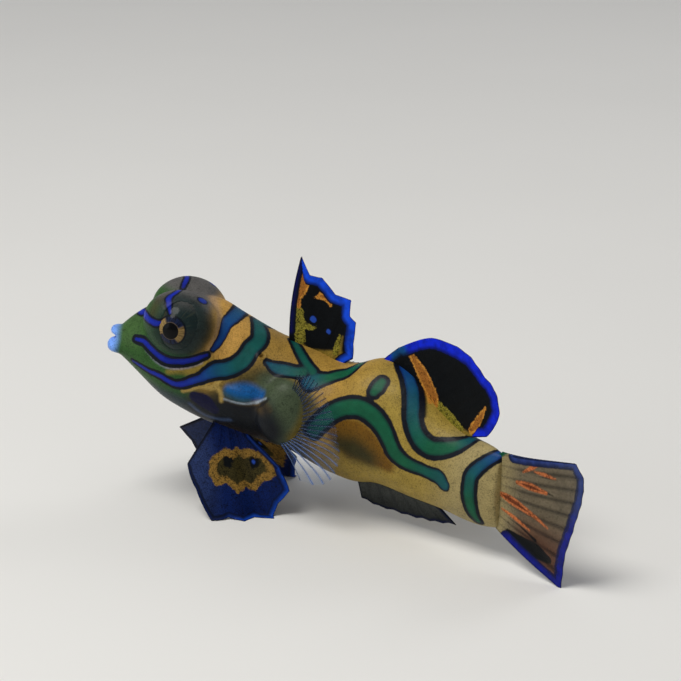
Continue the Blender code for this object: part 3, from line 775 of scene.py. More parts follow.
def lip(rise, half_width, reach, radius):
    """A rounded lip round the front of the mouth, thinner towards its corners."""
    t = np.linspace(-1, 1, 25)
    path = place(LIP_SWEEP * t * t - reach, half_width * np.sin(t * math.pi / 2), rise)
    return tube(path, radius * (1 - LIP_TAPER * t * t))


def body_forms():
    """The body's loft, and the forms that are fused to it."""
    stations = np.linspace(BODY_PROFILE[0][0], STANDARD_LENGTH, BODY_RINGS)
    angles = np.linspace(0, 360, BODY_SIDES, endpoint=False)
    body = loft(body_place(stations[:, None], angles[None, :]))
    pieces = [lip(**UPPER_LIP), lip(**LOWER_LIP)]
    tail, left, up = directions(EYE_STATION)
    for side in (1, -1):
        dome = place(EYE_STATION, EYE_OUT * side, EYE_UP) - tail * EYE_DOME_AHEAD
        pieces.append(ellipsoid(dome, (left, tail, up), EYE_DOME_HALF_SIZE))
        flap_axes = directions(FLAP_STATION)
        pieces.append(ellipsoid(place(FLAP_STATION, FLAP_OUT * side, FLAP_UP), flap_axes, FLAP_HALF_SIZE, 32))
        lobe_axes = directions(LOBE_STATION)
        pieces.append(ellipsoid(place(LOBE_STATION, LOBE_OUT * side, LOBE_UP), lobe_axes, LOBE_HALF_SIZE))
    return body, pieces


def fillet(points, mesh, edges, times):
    """The creases between the joined forms filled in, with the swellings left as they are."""
    for _ in range(times):
        moved = relax(points, edges, 1, 0.5)
        write_points(mesh, points)
        rise = ((moved - points) * read_normals(mesh)).sum(-1)
        points = points + (moved - points) * ease(rise, 0.0, 0.004)[:, None]
    return points


@functools.cache
def skin_form(size):
    """Points and faces of the fish's whole skin, with its lips, eye rims, flaps and pores."""
    body, pieces = body_forms()
    whole = combine(body, pieces, "UNION")
    mouth = ellipsoid(place(0, 0, MOUTH_RISE), directions(0), MOUTH_HALF_SIZE, 32)
    whole = combine(whole, [mouth], "DIFFERENCE")
    mesh = voxel_mesh(*whole, size)
    edges = read_rows(mesh.edges, "vertices", 2, int)
    points = relax(read_points(mesh), edges, 6, 0.5)
    points = fillet(points, mesh, edges, FILLET_ROUNDS)
    points = relax(points, edges, 3, 0.4)
    write_points(mesh, points)
    points = shape_details(points, read_normals(mesh))
    return points, [tuple(face.vertices) for face in mesh.polygons]


def shape_details(points, normals):
    """Eye rims, nostrils and gill pores, raised from the skin or pressed into it."""
    for side in (1, -1):
        centre = eye_centre(side)
        from_eye = points - centre
        away = np.linalg.norm(from_eye, axis=1)
        inside = away < EYE_BALL_RADIUS - EYE_OVERLAP
        rim = np.exp(-((away - EYE_BALL_RADIUS - EYE_SEAT) / EYE_RIM_REACH) ** 2) * ~inside
        points = points + normals * (rim * EYE_RIM_RISE)[:, None]
        shrunk = np.minimum(away, EYE_BALL_RADIUS - EYE_SOCKET) / np.maximum(away, 1e-6)
        sunk = centre + from_eye * shrunk[:, None]
        points = np.where(inside[:, None], sunk, points)
        for station, angle, radius in (NOSTRIL, GILL_PORE):
            spot = body_place(station, 90 - (90 - angle) * side)
            away = np.linalg.norm(points - spot, axis=1) / radius
            rise = 0.55 * np.exp(-((away - 1.25) / 0.45) ** 2) - 1.2 * np.exp(-(away / 0.75) ** 2)
            points = points + normals * (radius * rise)[:, None]
    return points


def eye_profile():
    """Radius and height along the gaze of the eyeball's turned outline, from behind to the pupil."""
    ball = EYE_BALL_RADIUS - EYE_CLEARANCE
    edge = math.asin((IRIS_RADIUS + CORNEA_MARGIN) / ball)
    polar = np.concatenate([np.linspace(math.pi - 0.02, edge, 70), np.linspace(edge, 0.01, 36)[1:]])
    rise = CORNEA_RISE * (1 - np.minimum(polar / edge, 1) ** 2) ** 1.5
    return np.column_stack([ball * np.sin(polar), ball * np.cos(polar) + rise])


def turned(profile, centre, axes, sides=128):
    """Points and faces of a form turned about the first axis, with its poles closed."""
    gaze, over, across = axes
    turn = np.linspace(0, 2 * math.pi, sides, endpoint=False)[None, :, None]
    ring = over * np.cos(turn) + across * np.sin(turn)
    points = centre + ring * profile[:, 0, None, None] + gaze * profile[:, 1, None, None]
    return loft(points)


# Fins: each is a surface of u, from root to tip, and v, across from its first ray to its last.

def median_fin(rays, top, smooth, bow=0.0):
    """A fin in the fish's own midline, on the back if top or under the belly."""

    def point(u, v):
        row = (through if smooth else straight)(rays, v)
        station, lean, length = row[..., 0], np.radians(row[..., 1]), row[..., 2]
        height = through(BODY_PROFILE, station)[..., 0 if top else 1] - FIN_SINK
        out = (length + FIN_SINK) * u
        along = station + out * np.cos(lean) - bow * np.sin(math.pi * u)
        return place(along, 0, (height if top else -height) + out * np.sin(lean))

    return point


def tail_fin(u, v):
    """The fin at the end of the tail."""
    row = through(TAIL_RAYS, v)
    lean, out = np.radians(row[..., 1]), row[..., 2] * u
    return place(TAIL_ROOT_STATION + out * np.cos(lean), 0, row[..., 0] + out * np.sin(lean))


def pectoral_fin(rays, side):
    """The clear fan behind a lobe."""

    def point(u, v):
        row = through(rays, v)
        root = np.radians(PECTORAL_ROOT_SPREAD * (1 - 2 * v))
        lean, reach = np.radians(row[..., 0]), row[..., 1]
        along = LOBE_HALF_SIZE[0] * PECTORAL_ROOT_SHARE * np.cos(root) * (1 - u) + np.cos(lean) * reach * u
        rise = LOBE_HALF_SIZE[2] * PECTORAL_ROOT_SHARE * np.sin(root) * (1 - u) + np.sin(lean) * reach * u
        return place(LOBE_STATION + along, (PECTORAL_OUT + PECTORAL_FLARE * u * u) * side, LOBE_UP + rise)

    return point


def pelvic_fin(rays, side):
    """The broad fin under the chest, curled outwards where it meets the floor."""

    def point(u, v):
        u, v = np.broadcast_arrays(u, v)
        row = through(rays, v)
        station, length = row[..., 0], row[..., 3:4]
        turn, droop = np.radians(row[..., 1:2]), np.radians(row[..., 2:3])
        tail, left, up = directions(station)
        level, across = tail * (1, 1, 0), left * (1, 1, 0) * side
        level = level / np.linalg.norm(level, axis=-1, keepdims=True)
        across = across / np.linalg.norm(across, axis=-1, keepdims=True)
        outward = level * np.cos(turn) + across * np.sin(turn)
        run = outward * np.cos(droop) - np.array((0, 0, 1)) * np.sin(droop)
        root = body_place(station, PELVIC_ROOT_ANGLE if side > 0 else 180 - PELVIC_ROOT_ANGLE)
        made = root + run * (length * u[..., None] - FIN_SINK)
        below = -made[..., 2:3]
        lift = (below + np.hypot(below, PELVIC_SOFTNESS)) / 2
        return made + outward * lift * PELVIC_CURL + np.array((0, 0, 1)) * lift

    return point


def off_ray(v, ray_places):
    """0 on a ray and 1 midway between two."""
    ray_places = np.asarray(ray_places)
    k = np.clip(np.searchsorted(ray_places, v, side="right"), 1, len(ray_places) - 1)
    t = (v - ray_places[k - 1]) / (ray_places[k] - ray_places[k - 1])
    return 1 - np.abs(2 * t - 1)


# Colour laid over the points of a skin or fin.

def mixed(base, colour, share):
    """The base colours with so much of another in each."""
    return base + (np.array(colour)[None, :3] - base) * np.asarray(share)[:, None]


def layered(base, count, *layers):
    """One colour for so many points, with each (colour, share) laid over it in turn."""
    made = np.tile(np.array(base)[:3], (count, 1))
    for colour, share in layers:
        made = mixed(made, colour, share)
    return made


def soft_marks(ground, places, marks, colours, tree):
    """The ground with soft strokes of other colours laid over it."""
    for name, strength, softness, route in marks:
        away = beyond_strokes(places, (cast(route, tree),))
        share = strength * (1 - ease(away, -softness / 2, softness))
        ground = mixed(ground, getattr(colours, name), share)
    return ground


def skin_ground(places, colours):
    """The body's colour under its markings, from the straightened place of each point, with painted shade
    under the belly and the chest.
    """
    station, out, up = places.T
    from_eye = np.linalg.norm((places - (EYE_STATION - 0.2, EYE_OUT + 2.3, EYE_UP)) / (4.2, 3.6, 3.7), axis=1)
    return layered(
        colours.flank, len(places),
        (colours.nape, 0.8 * ease(station, 26, 17) * ease(station, 12, 15)),
        # The belly's own colour, kept darker than the flank as painted shade on the underside.
        (colours.belly, 0.9 * ease(up, -1.2, -4.6) * ease(station, 14, 22)),
        (colours.rear_flank, ease(station, 25, 34)),
        (colours.stalk, 0.85 * ease(station, 38, 44)),
        (colours.face, ease(station + 0.25 * up, 11.2, 8.6)),
        (colours.snout, 0.6 * ease(up, -0.5, 0.8) * ease(station, 4.5, 2.5)),
        (colours.brow, ease(up, 5.4, 6.6) * ease(station, 10.2, 8.8) * ease(station, 3.0, 4.6)),
        (colours.eye_skin, 0.85 * ease(from_eye, 1, 0.55)),
        (colours.lips, ease(station + 0.1 * np.abs(up - 0.5), 1.5, 0.4)),
        (colours.throat, 0.85 * ease(up, -2.4, -4.0) * ease(station, 17, 12) * ease(station, 2, 5)),
        # Painted shade: the underside of the head and chest darkened, where shade falls.
        (colours.shadow, 0.92 * ease(up, -0.8, -2.6) * ease(station, 8.5, 11.5) * ease(station, 26, 23)),
    )


def eye_ground(places, colours):
    """The eyeball's colour under its markings."""
    return layered(colours.eye_skin, len(places), (colours.brow, 0.8 * ease(places[:, 2], 5.8, 7.2)))


def paint_body(mesh, colours, tree, ground, marks):
    """Stores the body's ground colour, painted shade included, and the fields of its markings, alike on both
    sides.
    """
    places = unbend(read_points(mesh))
    places[:, 1] = np.abs(places[:, 1])
    set_colour(mesh, "ground", soft_marks(ground(places, colours), places, marks, colours, tree))
    bands = [(cast(route, tree), tones, inks) for route, tones, inks in BANDS]
    band, blue, ink = band_fields(places, bands)
    set_values(mesh, band=band, blue=blue, ink=ink)


def finished(name, mesh, material, slot, *nodes):
    """The piece of this mesh in metres, riding on the body, with its finish and what it replaces."""
    points = read_points(mesh)
    points[:, 2] = np.maximum(points[:, 2], 0)
    write_points(mesh, points * MM)
    mesh.materials.clear()
    mesh.materials.append(material)
    mesh.shade_smooth()
    made = new_object(name, mesh)
    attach(made, "root")
    if nodes:
        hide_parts(*nodes)
    return made


# Node trees.

class Nodes:
    """Short calls that add nodes to one tree. Each value may be a number, a colour or a socket."""

    def __init__(self, tree):
        self.tree = tree

    def add(self, kind, inputs=None, **settings):
        node = self.tree.nodes.new(kind)
        for key, value in settings.items():
            setattr(node, key, value)
        for key, value in (inputs or {}).items():
            self.give(node.inputs[key], value)
        return node

    def give(self, socket, value):
        if isinstance(value, bpy.types.NodeSocket):
            self.tree.links.new(value, socket)
        else:
            socket.default_value = value

    def maths(self, operation, a, b=0.0):
        return self.add("ShaderNodeMath", {0: a, 1: b}, operation=operation).outputs[0]

    def mix(self, share, a, b, blend="MIX"):
        inputs = {0: share, 6: a, 7: b}
        return self.add("ShaderNodeMix", inputs, data_type="RGBA", blend_type=blend).outputs[2]

    def ease(self, value, low, high, start=0.0, end=1.0):
        inputs = {"Value": value, "From Min": low, "From Max": high, "To Min": start, "To Max": end}
        return self.add("ShaderNodeMapRange", inputs, interpolation_type="SMOOTHSTEP").outputs["Result"]

    def read(self, name, output):
        return self.add("ShaderNodeAttribute", attribute_name=name).outputs[output]

    def field(self, name):
        return self.read(name, "Fac")

    def colour(self, name):
        return self.read(name, "Color")

    def noise(self, where, scale, detail=2.0, rough=0.5):
        inputs = {"Vector": where, "Scale": scale, "Detail": detail, "Roughness": rough}
        return self.add("ShaderNodeTexNoise", inputs).outputs[0]

    def millimetres(self):
        where = self.add("ShaderNodeTexCoord").outputs["Object"]
        return self.add("ShaderNodeVectorMath", {0: where, "Scale": 1 / MM}, operation="SCALE").outputs[0]


# Geometry Nodes: fin rays as tapered, jointed rods along lines.

def ray_tree():
    """A node tree that turns lines into tapered rods with a swelling at each joint."""
    tree = bpy.data.node_groups.new("Fin rays", "GeometryNodeTree")
    face = tree.interface
    face.new_socket("Geometry", in_out="INPUT", socket_type="NodeSocketGeometry")
    for name, kind in (
        ("Root radius", "Float"), ("Tip radius", "Float"), ("Joints", "Float"), ("Joint swelling", "Float"),
        ("Sides", "Int"), ("Material", "Material"),
    ):
        face.new_socket(name, in_out="INPUT", socket_type="NodeSocket" + kind)
    face.new_socket("Geometry", in_out="OUTPUT", socket_type="NodeSocketGeometry")
    nodes = Nodes(tree)
    get = nodes.add("NodeGroupInput").outputs
    lines = nodes.add("GeometryNodeMeshToCurve", {"Mesh": get["Geometry"]})
    along = nodes.add("GeometryNodeSplineParameter").outputs["Factor"]
    sizes = {"Value": along, "To Min": get["Root radius"], "To Max": get["Tip radius"]}
    taper = nodes.add("ShaderNodeMapRange", sizes).outputs["Result"]
    turns = nodes.maths("MULTIPLY", nodes.maths("MULTIPLY", along, get["Joints"]), 2 * math.pi)
    swelling = nodes.maths("MULTIPLY", nodes.maths("COSINE", turns), get["Joint swelling"])
    radius = nodes.maths("MULTIPLY", taper, nodes.maths("ADD", swelling, 1))
    sized = nodes.add("GeometryNodeSetCurveRadius", {"Curve": lines.outputs["Curve"], "Radius": radius})
    ring = nodes.add("GeometryNodeCurvePrimitiveCircle", {"Resolution": get["Sides"], "Radius": 1})
    parts = {"Curve": sized.outputs["Curve"], "Profile Curve": ring.outputs["Curve"], "Fill Caps": True}
    rods = nodes.add("GeometryNodeCurveToMesh", parts)
    if "Scale" in rods.inputs:
        nodes.give(rods.inputs["Scale"], radius)
    real = nodes.add("GeometryNodeRealizeInstances", {"Geometry": rods.outputs["Mesh"]})
    dressed = {"Geometry": real.outputs["Geometry"], "Material": get["Material"]}
    finish = nodes.add("GeometryNodeSetMaterial", dressed)
    nodes.add("NodeGroupOutput", {"Geometry": finish.outputs["Geometry"]})
    return tree


def ray_rods(lines, material, **sizes):
    """Points and faces of the rods that the node tree makes along these lines of points."""
    points = np.concatenate(lines)
    starts = np.cumsum([0] + [len(line) for line in lines[:-1]])
    edges = [(start + k, start + k + 1) for start, line in zip(starts, lines) for k in range(len(line) - 1)]
    mesh = bpy.data.meshes.new("ray lines")
    mesh.from_pydata(points.tolist(), edges, [])
    rods = new_object("ray lines", mesh)
    tree = bpy.data.node_groups.get("Fin rays") or ray_tree()
    change = rods.modifiers.new("rays", "NODES")
    change.node_group = tree
    values = {name.replace("_", " ").capitalize(): value for name, value in sizes.items()}
    values["Material"] = material
    for item in tree.interface.items_tree:
        if item.in_out == "INPUT" and item.name in values:
            change[item.identifier] = values[item.name]
    result = form_of(with_modifiers(rods))
    bpy.data.objects.remove(rods)
    return result


# Fins: a thin webbed sheet with its rays.

def fin_mesh(context, name, point, rays, material, joints, size, radii, ripple, notch, web=None):
    """A fin's sheet and rods as one mesh in millimetres, and for each point its u and v, its distance to
    the free edge, where on that edge is nearest and how far it is off a ray.
    joints is how many each ray has, the values after it are a form's, and web is the half thickness at
    root and tip."""
    sizes = context.scene.fish_sizes
    web = web or (sizes.web_root / MM, sizes.web_tip / MM)
    rows, columns = (int(reach / (sizes.fin_detail / MM)) for reach in size)
    u, v = np.meshgrid(np.linspace(0, 1, rows), np.linspace(0, 1, columns), indexing="ij")
    dip = off_ray(v, rays)
    centre = point(u * (1 - notch * dip**0.8), v)
    way = np.cos(np.searchsorted(rays, v, side="right") * math.pi)
    wave = ripple * u**1.5 * way * np.sin(dip * math.pi / 2)
    centre = centre + sheet_normals(centre) * wave[..., None]
    half = web[0] + (web[1] - web[0]) * u
    thinned = np.sqrt(np.maximum(1 - ((u - EDGE_START) / EDGE_ROUND) ** 2, EDGE_LEAST))
    points, faces = sheet(centre, half * np.where(u > EDGE_START, thinned, 1))
    free = rows // 5
    edge = np.concatenate([centre[free:, 0], centre[-1], centre[free:, -1]])
    front, rear = np.full(rows - free, -1.0), np.full(rows - free, 2.0)
    share = np.concatenate([front, np.linspace(0, 1, columns), rear])
    away, which = nearest(centre.reshape(-1, 3), edge)
    fields = np.column_stack([u.ravel(), v.ravel(), away, share[which], dip.ravel()])
    fields = np.concatenate([fields, fields])
    steps = np.linspace(*ROD_SPAN, ROD_STEPS)
    lines = [point(steps, np.full(ROD_STEPS, ray)) for ray in rays]
    rod_points, rod_faces = ray_rods(
        lines, material, root_radius=radii[0], tip_radius=radii[1], joints=float(joints),
        joint_swelling=JOINT_SWELLING, sides=ROD_SIDES)
    tree = KDTree(rows * columns)
    for i, place_of in enumerate(centre.reshape(-1, 3)):
        tree.insert(place_of, i)
    tree.balance()
    rod_fields = fields[[tree.find(p)[1] for p in rod_points]]
    rod_fields[:, 4] = 0
    start = len(points)
    faces = faces + [[i + start for i in face] for face in rod_faces]
    mesh = new_mesh(name, np.concatenate([points, rod_points]), faces)
    return mesh, np.concatenate([fields, rod_fields])


def rim_field(fields, first, table, last):
    """Distance beyond the coloured margin, whose width follows the fin's edge."""
    share = fields[:, 3]
    width = np.interp(share, *np.array(table).T)
    width = np.where(share < 0, first, np.where(share > 1, last, width))
    return fields[:, 2] - width


def paint_fin(mesh, fields, ground, margin, **marks):
    """Stores a fin's ground and margin colours and the fields of its markings."""
    set_colour(mesh, "ground", ground)
    set_colour(mesh, "margin", margin)
    values = {name: np.full(len(fields), FAR_OFF) for name in ("rim", "open", "dark", "gold", "spot")}
    values.update(marks)
    set_values(mesh, web=fields[:, 4], edge=fields[:, 2], **values)


def flat_marks(places, routes):
    """Distance of points in the fish's midline beyond these strokes."""
    return beyond_strokes(places, [cast_flat(route, middle_tree()) for route in routes])


# Materials.

def rgba(colour):
    """A colour with full opacity, as a socket takes it."""
    return (*tuple(colour)[:3], 1.0)


def group_of(name, inputs, outputs):
    """A new shader node group with these named sockets, its nodes helper, entry and exit."""
    tree = bpy.data.node_groups.new(name, "ShaderNodeTree")
    for way, sockets in (("INPUT", inputs), ("OUTPUT", outputs)):
        for label, kind in sockets:
            tree.interface.new_socket(label, in_out=way, socket_type="NodeSocket" + kind)
    return tree, Nodes(tree), tree.nodes.new("NodeGroupInput"), tree.nodes.new("NodeGroupOutput")


def once(name, inputs, outputs, build):
    """The shader node group of this name, built the first time it is asked for."""
    if name in bpy.data.node_groups:
        return bpy.data.node_groups[name]
    tree, nodes, entry, leave = group_of(name, inputs, outputs)
    for label, value in build(nodes, entry.outputs).items():
        nodes.give(leave.inputs[label], value)
    return tree


def outlined_mark():
    """Node group: a mark of one colour with a dark outline, over a ground, by its edge distance."""

    def build(nodes, get):
        drift = nodes.maths("SUBTRACT", nodes.noise(get["Position"], 2.2, 4.0, 0.65), 0.5)
        distance = nodes.maths("ADD", get["Distance"], nodes.maths("MULTIPLY", drift, get["Wander"]))
        soft = get["Softness"]
        sharp = nodes.maths("MULTIPLY", soft, -1.0)
        inside = nodes.ease(distance, sharp, soft, 1.0, 0.0)
        beyond = nodes.maths("SUBTRACT", distance, get["Outline width"])
        outlined = nodes.ease(beyond, sharp, soft, 1.0, 0.0)
        return {"Colour": nodes.mix(inside, nodes.mix(outlined, get["Ground"], get["Outline"]), get["Mark"])}

    inputs = [("Ground", "Color"), ("Mark", "Color"), ("Outline", "Color"), ("Position", "Vector")]
    inputs += [(label, "Float") for label in ("Distance", "Outline width", "Softness", "Wander")]
    return once("Outlined mark", inputs, [("Colour", "Color")], build)


def speckled():
    """Node group: a colour broken up by fine dark specks and soft lighter and darker clouds."""

    def build(nodes, get):
        fine = nodes.noise(get["Position"], 8.5, 3.0, 0.65)
        coarse = nodes.ease(nodes.noise(get["Position"], 3.2, 3.0, 0.6), 0.5, 0.68)
        both = nodes.maths("ADD", nodes.ease(fine, 0.44, 0.66), nodes.maths("MULTIPLY", coarse, 0.7))
        speck = nodes.maths("MULTIPLY", both, get["Specks"])
        drift = nodes.maths("SUBTRACT", nodes.noise(get["Position"], 0.8, 3.0), 0.5)
        cloud = nodes.maths("MULTIPLY", drift, get["Clouds"])
        light = nodes.maths("ADD", nodes.maths("SUBTRACT", 1.0, speck), cloud)
        light = nodes.maths("MAXIMUM", light, 0.06)
        shade = nodes.add("ShaderNodeCombineColor", {0: light, 1: light, 2: light}).outputs[0]
        return {"Colour": nodes.mix(1.0, get["Colour"], shade, "MULTIPLY"), "Height": fine}

    inputs = [("Colour", "Color"), ("Specks", "Float"), ("Clouds", "Float"), ("Position", "Vector")]
    return once("Speckled", inputs, [("Colour", "Color"), ("Height", "Float")], build)


def use_group(nodes, tree, **values):
    """The outputs of a group placed in a material with its own values."""
    node = nodes.add("ShaderNodeGroup", node_tree=tree)
    for key, value in values.items():
        nodes.give(node.inputs[key.replace("_", " ").capitalize()], value)
    return node.outputs


def broken(nodes, where, colour, specks):
    """A colour broken up by specks and clouds, and the height of its grain."""
    return use_group(nodes, speckled(), Colour=colour, Specks=specks, Clouds=CLOUDS, Position=where)


def marked(nodes, where, ground, mark, outline, field, width, softness, wander):
    """A ground with a mark laid over it, inside the edge that a field gives."""
    return use_group(
        nodes, outlined_mark(), Ground=ground, Mark=mark, Outline=outline, Distance=nodes.field(field),
        Outline_width=width, Softness=softness, Wander=wander, Position=where)["Colour"]


def new_material(name, **plain):
    """A material, its nodes helper and its Principled shader with these plain values."""
    material = bpy.data.materials.new(name)
    material.use_nodes = True
    shader = material.node_tree.nodes["Principled BSDF"]
    for key, value in plain.items():
        shader.inputs[key.replace("_", " ")].default_value = value
    return material, Nodes(material.node_tree), shader


def add_bump(nodes, shader, height, distance):
    """Gives the shader a bump of this height field, so many metres deep."""
    inputs = {"Height": height, "Distance": distance, "Strength": 1.0}
    nodes.give(shader.inputs["Normal"], nodes.add("ShaderNodeBump", inputs).outputs["Normal"])


def band_tone(nodes, colours, where):
    """The colour of a band from green over teal to blue, deeper at its edge and a little cloudy."""
    tone = nodes.mix(nodes.field("blue"), rgba(colours.green), rgba(colours.blue))
    deep = nodes.mix(1.0, tone, (0.5, 0.5, 0.7, 1), "MULTIPLY")
    tone = nodes.mix(nodes.ease(nodes.field("band"), -0.3, -0.02), tone, deep)
    return use_group(nodes, speckled(), Colour=tone, Specks=0.12, Clouds=0.7, Position=where)["Colour"]


def skin_material(name, colours, roughness, coat):
    """The marked skin: a speckled ground, and the outlined green and blue bands."""
    material, nodes, shader = new_material(
        name, Coat_Weight=coat, Coat_Roughness=0.2, Specular_IOR_Level=0.12)
    where = nodes.millimetres()
    ground = broken(nodes, where, nodes.colour("ground"), 0.38)
    tone = band_tone(nodes, colours, where)
    bands = marked(
        nodes, where, ground["Colour"], tone, rgba(colours.outline), "band", nodes.field("ink"), 0.07, 0.22)
    nodes.give(shader.inputs["Base Color"], bands)
    fine = nodes.noise(where, 9.0, 3.0)
    nodes.give(shader.inputs["Roughness"], nodes.ease(fine, 0.3, 0.7, roughness - 0.08, roughness + 0.1))
    folds = nodes.maths("MULTIPLY", nodes.noise(where, 1.8, 3.0), 1.6)
    grain = nodes.maths("MULTIPLY", ground["Height"], 0.8)
    add_bump(nodes, shader, nodes.maths("ADD", grain, folds), 0.035 * MM)
    return material


def fin_material(
        name, colours, gold, core, softness=0.06, ink=0.16, wander=0.45, roughness=0.5, coat=0.0, specks=0.35,
        see_through=False, fringe=0.04, cored=0.85):
    """A webbed fin: ground, open speckled field, dark fields, streaks with cores, spots and a margin."""
    material, nodes, shader = new_material(
        name, Coat_Weight=coat, Coat_Roughness=0.2, Specular_IOR_Level=0.08)
    where = nodes.millimetres()
    outline = rgba(colours.outline)

    def lay(ground, mark, field, width, ragged):
        return marked(nodes, where, ground, mark, outline, field, width, softness, ragged)

    def specked(colour, share):
        return broken(nodes, where, colour, share)["Colour"]

    web = nodes.field("web")
    ground = specked(nodes.colour("ground"), specks)
    dusk = nodes.mix(1.0, ground, (0.4, 0.42, 0.5, 1), "MULTIPLY")
    tone = nodes.mix(nodes.ease(web, 0.03, 0.4, 0.4, 0.0), ground, dusk)
    tone = lay(tone, specked(rgba(colours.olive), 0.9), "open", -softness, wander)
    tone = lay(tone, rgba(colours.fin_black), "dark", -softness, wander)
    streak = nodes.mix(nodes.ease(nodes.noise(where, 3.6, 3.0), 0.48, 0.66, 0.0, 0.7), rgba(gold), rgba(core))
    streak = nodes.mix(nodes.ease(nodes.field("gold"), -0.3, -0.16, cored, 0.0), streak, rgba(core))
    tone = lay(tone, specked(streak, 0.55), "gold", -softness, wander)
    tone = lay(tone, rgba(colours.spot_blue), "spot", 0.12, 0.2)
    cloudy = nodes.ease(nodes.noise(where, 1.1, 3.0), 0.38, 0.66, 0.0, 0.4)
    margin = nodes.mix(cloudy, nodes.colour("margin"), outline)
    margin = nodes.mix(nodes.ease(nodes.field("rim"), -0.5, -0.02, 0.0, 0.75), margin, outline)
    tone = lay(tone, margin, "rim", ink, 0.2)
    tone = nodes.mix(nodes.ease(nodes.field("edge"), fringe * 0.5, fringe * 2, 0.75, 0.0), tone, outline)
    nodes.give(shader.inputs["Base Color"], tone)
    fine = nodes.noise(where, 8.0, 2.0)
    nodes.give(shader.inputs["Roughness"], nodes.ease(fine, 0.3, 0.7, roughness - 0.08, roughness + 0.08))
    add_bump(nodes, shader, nodes.maths("ADD", fine, nodes.maths("MULTIPLY", web, -1.0)), 0.025 * MM)
    if see_through:
        nodes.give(shader.inputs["Alpha"], nodes.maths("SUBTRACT", 1.0, nodes.field("clear")))
    return material


def eye_material(colours):
    """The eyeball: marked skin round an iris of gold and dark blue rays, and a black pupil, under gloss."""
    material, nodes, shader = new_material(
        "eyeball", Coat_Weight=0.22, Coat_Roughness=0.04, Coat_IOR=1.38, Specular_IOR_Level=0.05)
    where = nodes.millimetres()
    outline = rgba(colours.outline)
    streak = nodes.noise(nodes.read("spokes", "Vector"), 1.0, 4.0, 0.65)
    skin = broken(nodes, where, nodes.colour("ground"), 0.35)["Colour"]
    skin = nodes.mix(nodes.ease(streak, 0.52, 0.72, 0.0, 0.6), skin, rgba(colours.eye_streak))
    tone = band_tone(nodes, colours, where)
    skin = marked(nodes, where, skin, tone, outline, "band", nodes.field("ink"), 0.07, 0.2)
    brown = nodes.ease(streak, 0.44, 0.62, 0.0, 0.75)
    gold = nodes.mix(brown, rgba(colours.iris_gold), rgba(colours.iris_brown))
    blue = nodes.mix(nodes.ease(streak, 0.46, 0.6), rgba(colours.iris_blue), outline)
    iris = nodes.mix(nodes.field("iris_gold"), blue, gold)
    reach = nodes.field("reach")
    lining = nodes.ease(reach, PUPIL_RADIUS + 0.03, PUPIL_RADIUS + 0.1, 0.3, 0.0)
    iris = nodes.mix(lining, iris, rgba(colours.iris_gold))
    ball = nodes.mix(nodes.ease(reach, IRIS_RADIUS - 0.14, IRIS_RADIUS + 0.02), iris, skin)
    from_edge = nodes.maths("ABSOLUTE", nodes.maths("SUBTRACT", reach, IRIS_RADIUS))
    ball = nodes.mix(nodes.ease(from_edge, 0.02, 0.14, 0.85, 0.0), ball, outline)
    pupil = nodes.ease(reach, PUPIL_RADIUS - 0.03, PUPIL_RADIUS + 0.03)
    nodes.give(shader.inputs["Base Color"], nodes.mix(pupil, (0.0006, 0.0006, 0.001, 1), ball))
    nodes.give(shader.inputs["Roughness"], nodes.ease(streak, 0.3, 0.7, 0.3, 0.45))
    return material


def floor_material(colour):
    material, nodes, shader = new_material("floor", Roughness=0.7)
    tone = nodes.noise(nodes.millimetres(), 0.02, 2.0)
    shade = rgba([c * 0.985 for c in tuple(colour)[:3]])
    nodes.give(shader.inputs["Base Color"], nodes.mix(nodes.ease(tone, 0.3, 0.7), rgba(colour), shade))
    return material


# What a user may change.

def tint(name, description, default):
    return FloatVectorProperty(
        name=name, description=description, default=default, subtype="COLOR", size=3, min=0, max=1)


def width(name, description, default, least=0.0):
    return FloatProperty(
        name=name, description=description, default=default, min=least, subtype="DISTANCE", unit="LENGTH")


def brightness(name, description, default):
    return FloatProperty(
        name=name, description=description, default=default, min=0, subtype="POWER", unit="POWER")


def bearing(name, description, degrees):
    return FloatProperty(
        name=name, description=description, default=math.radians(degrees), subtype="ANGLE", unit="ROTATION")


class FishSizes(bpy.types.PropertyGroup):
    """Sizes of the fish's finish."""

    skin_detail: width("Skin detail", "Edge length of the skin's mesh", 0.000165, 0.00012)
    fin_detail: width("Fin detail", "Edge length of the fins' meshes", 0.0001, 0.00008)
    web_root: width("Web at root", "Half the fin web's thickness at its root", 0.00017)
    web_tip: width("Web at edge", "Half the fin web's thickness at its edge", 0.00007)
    ray_joints: IntProperty(name="Ray joints", description="Joints along each soft ray", default=18, min=0)


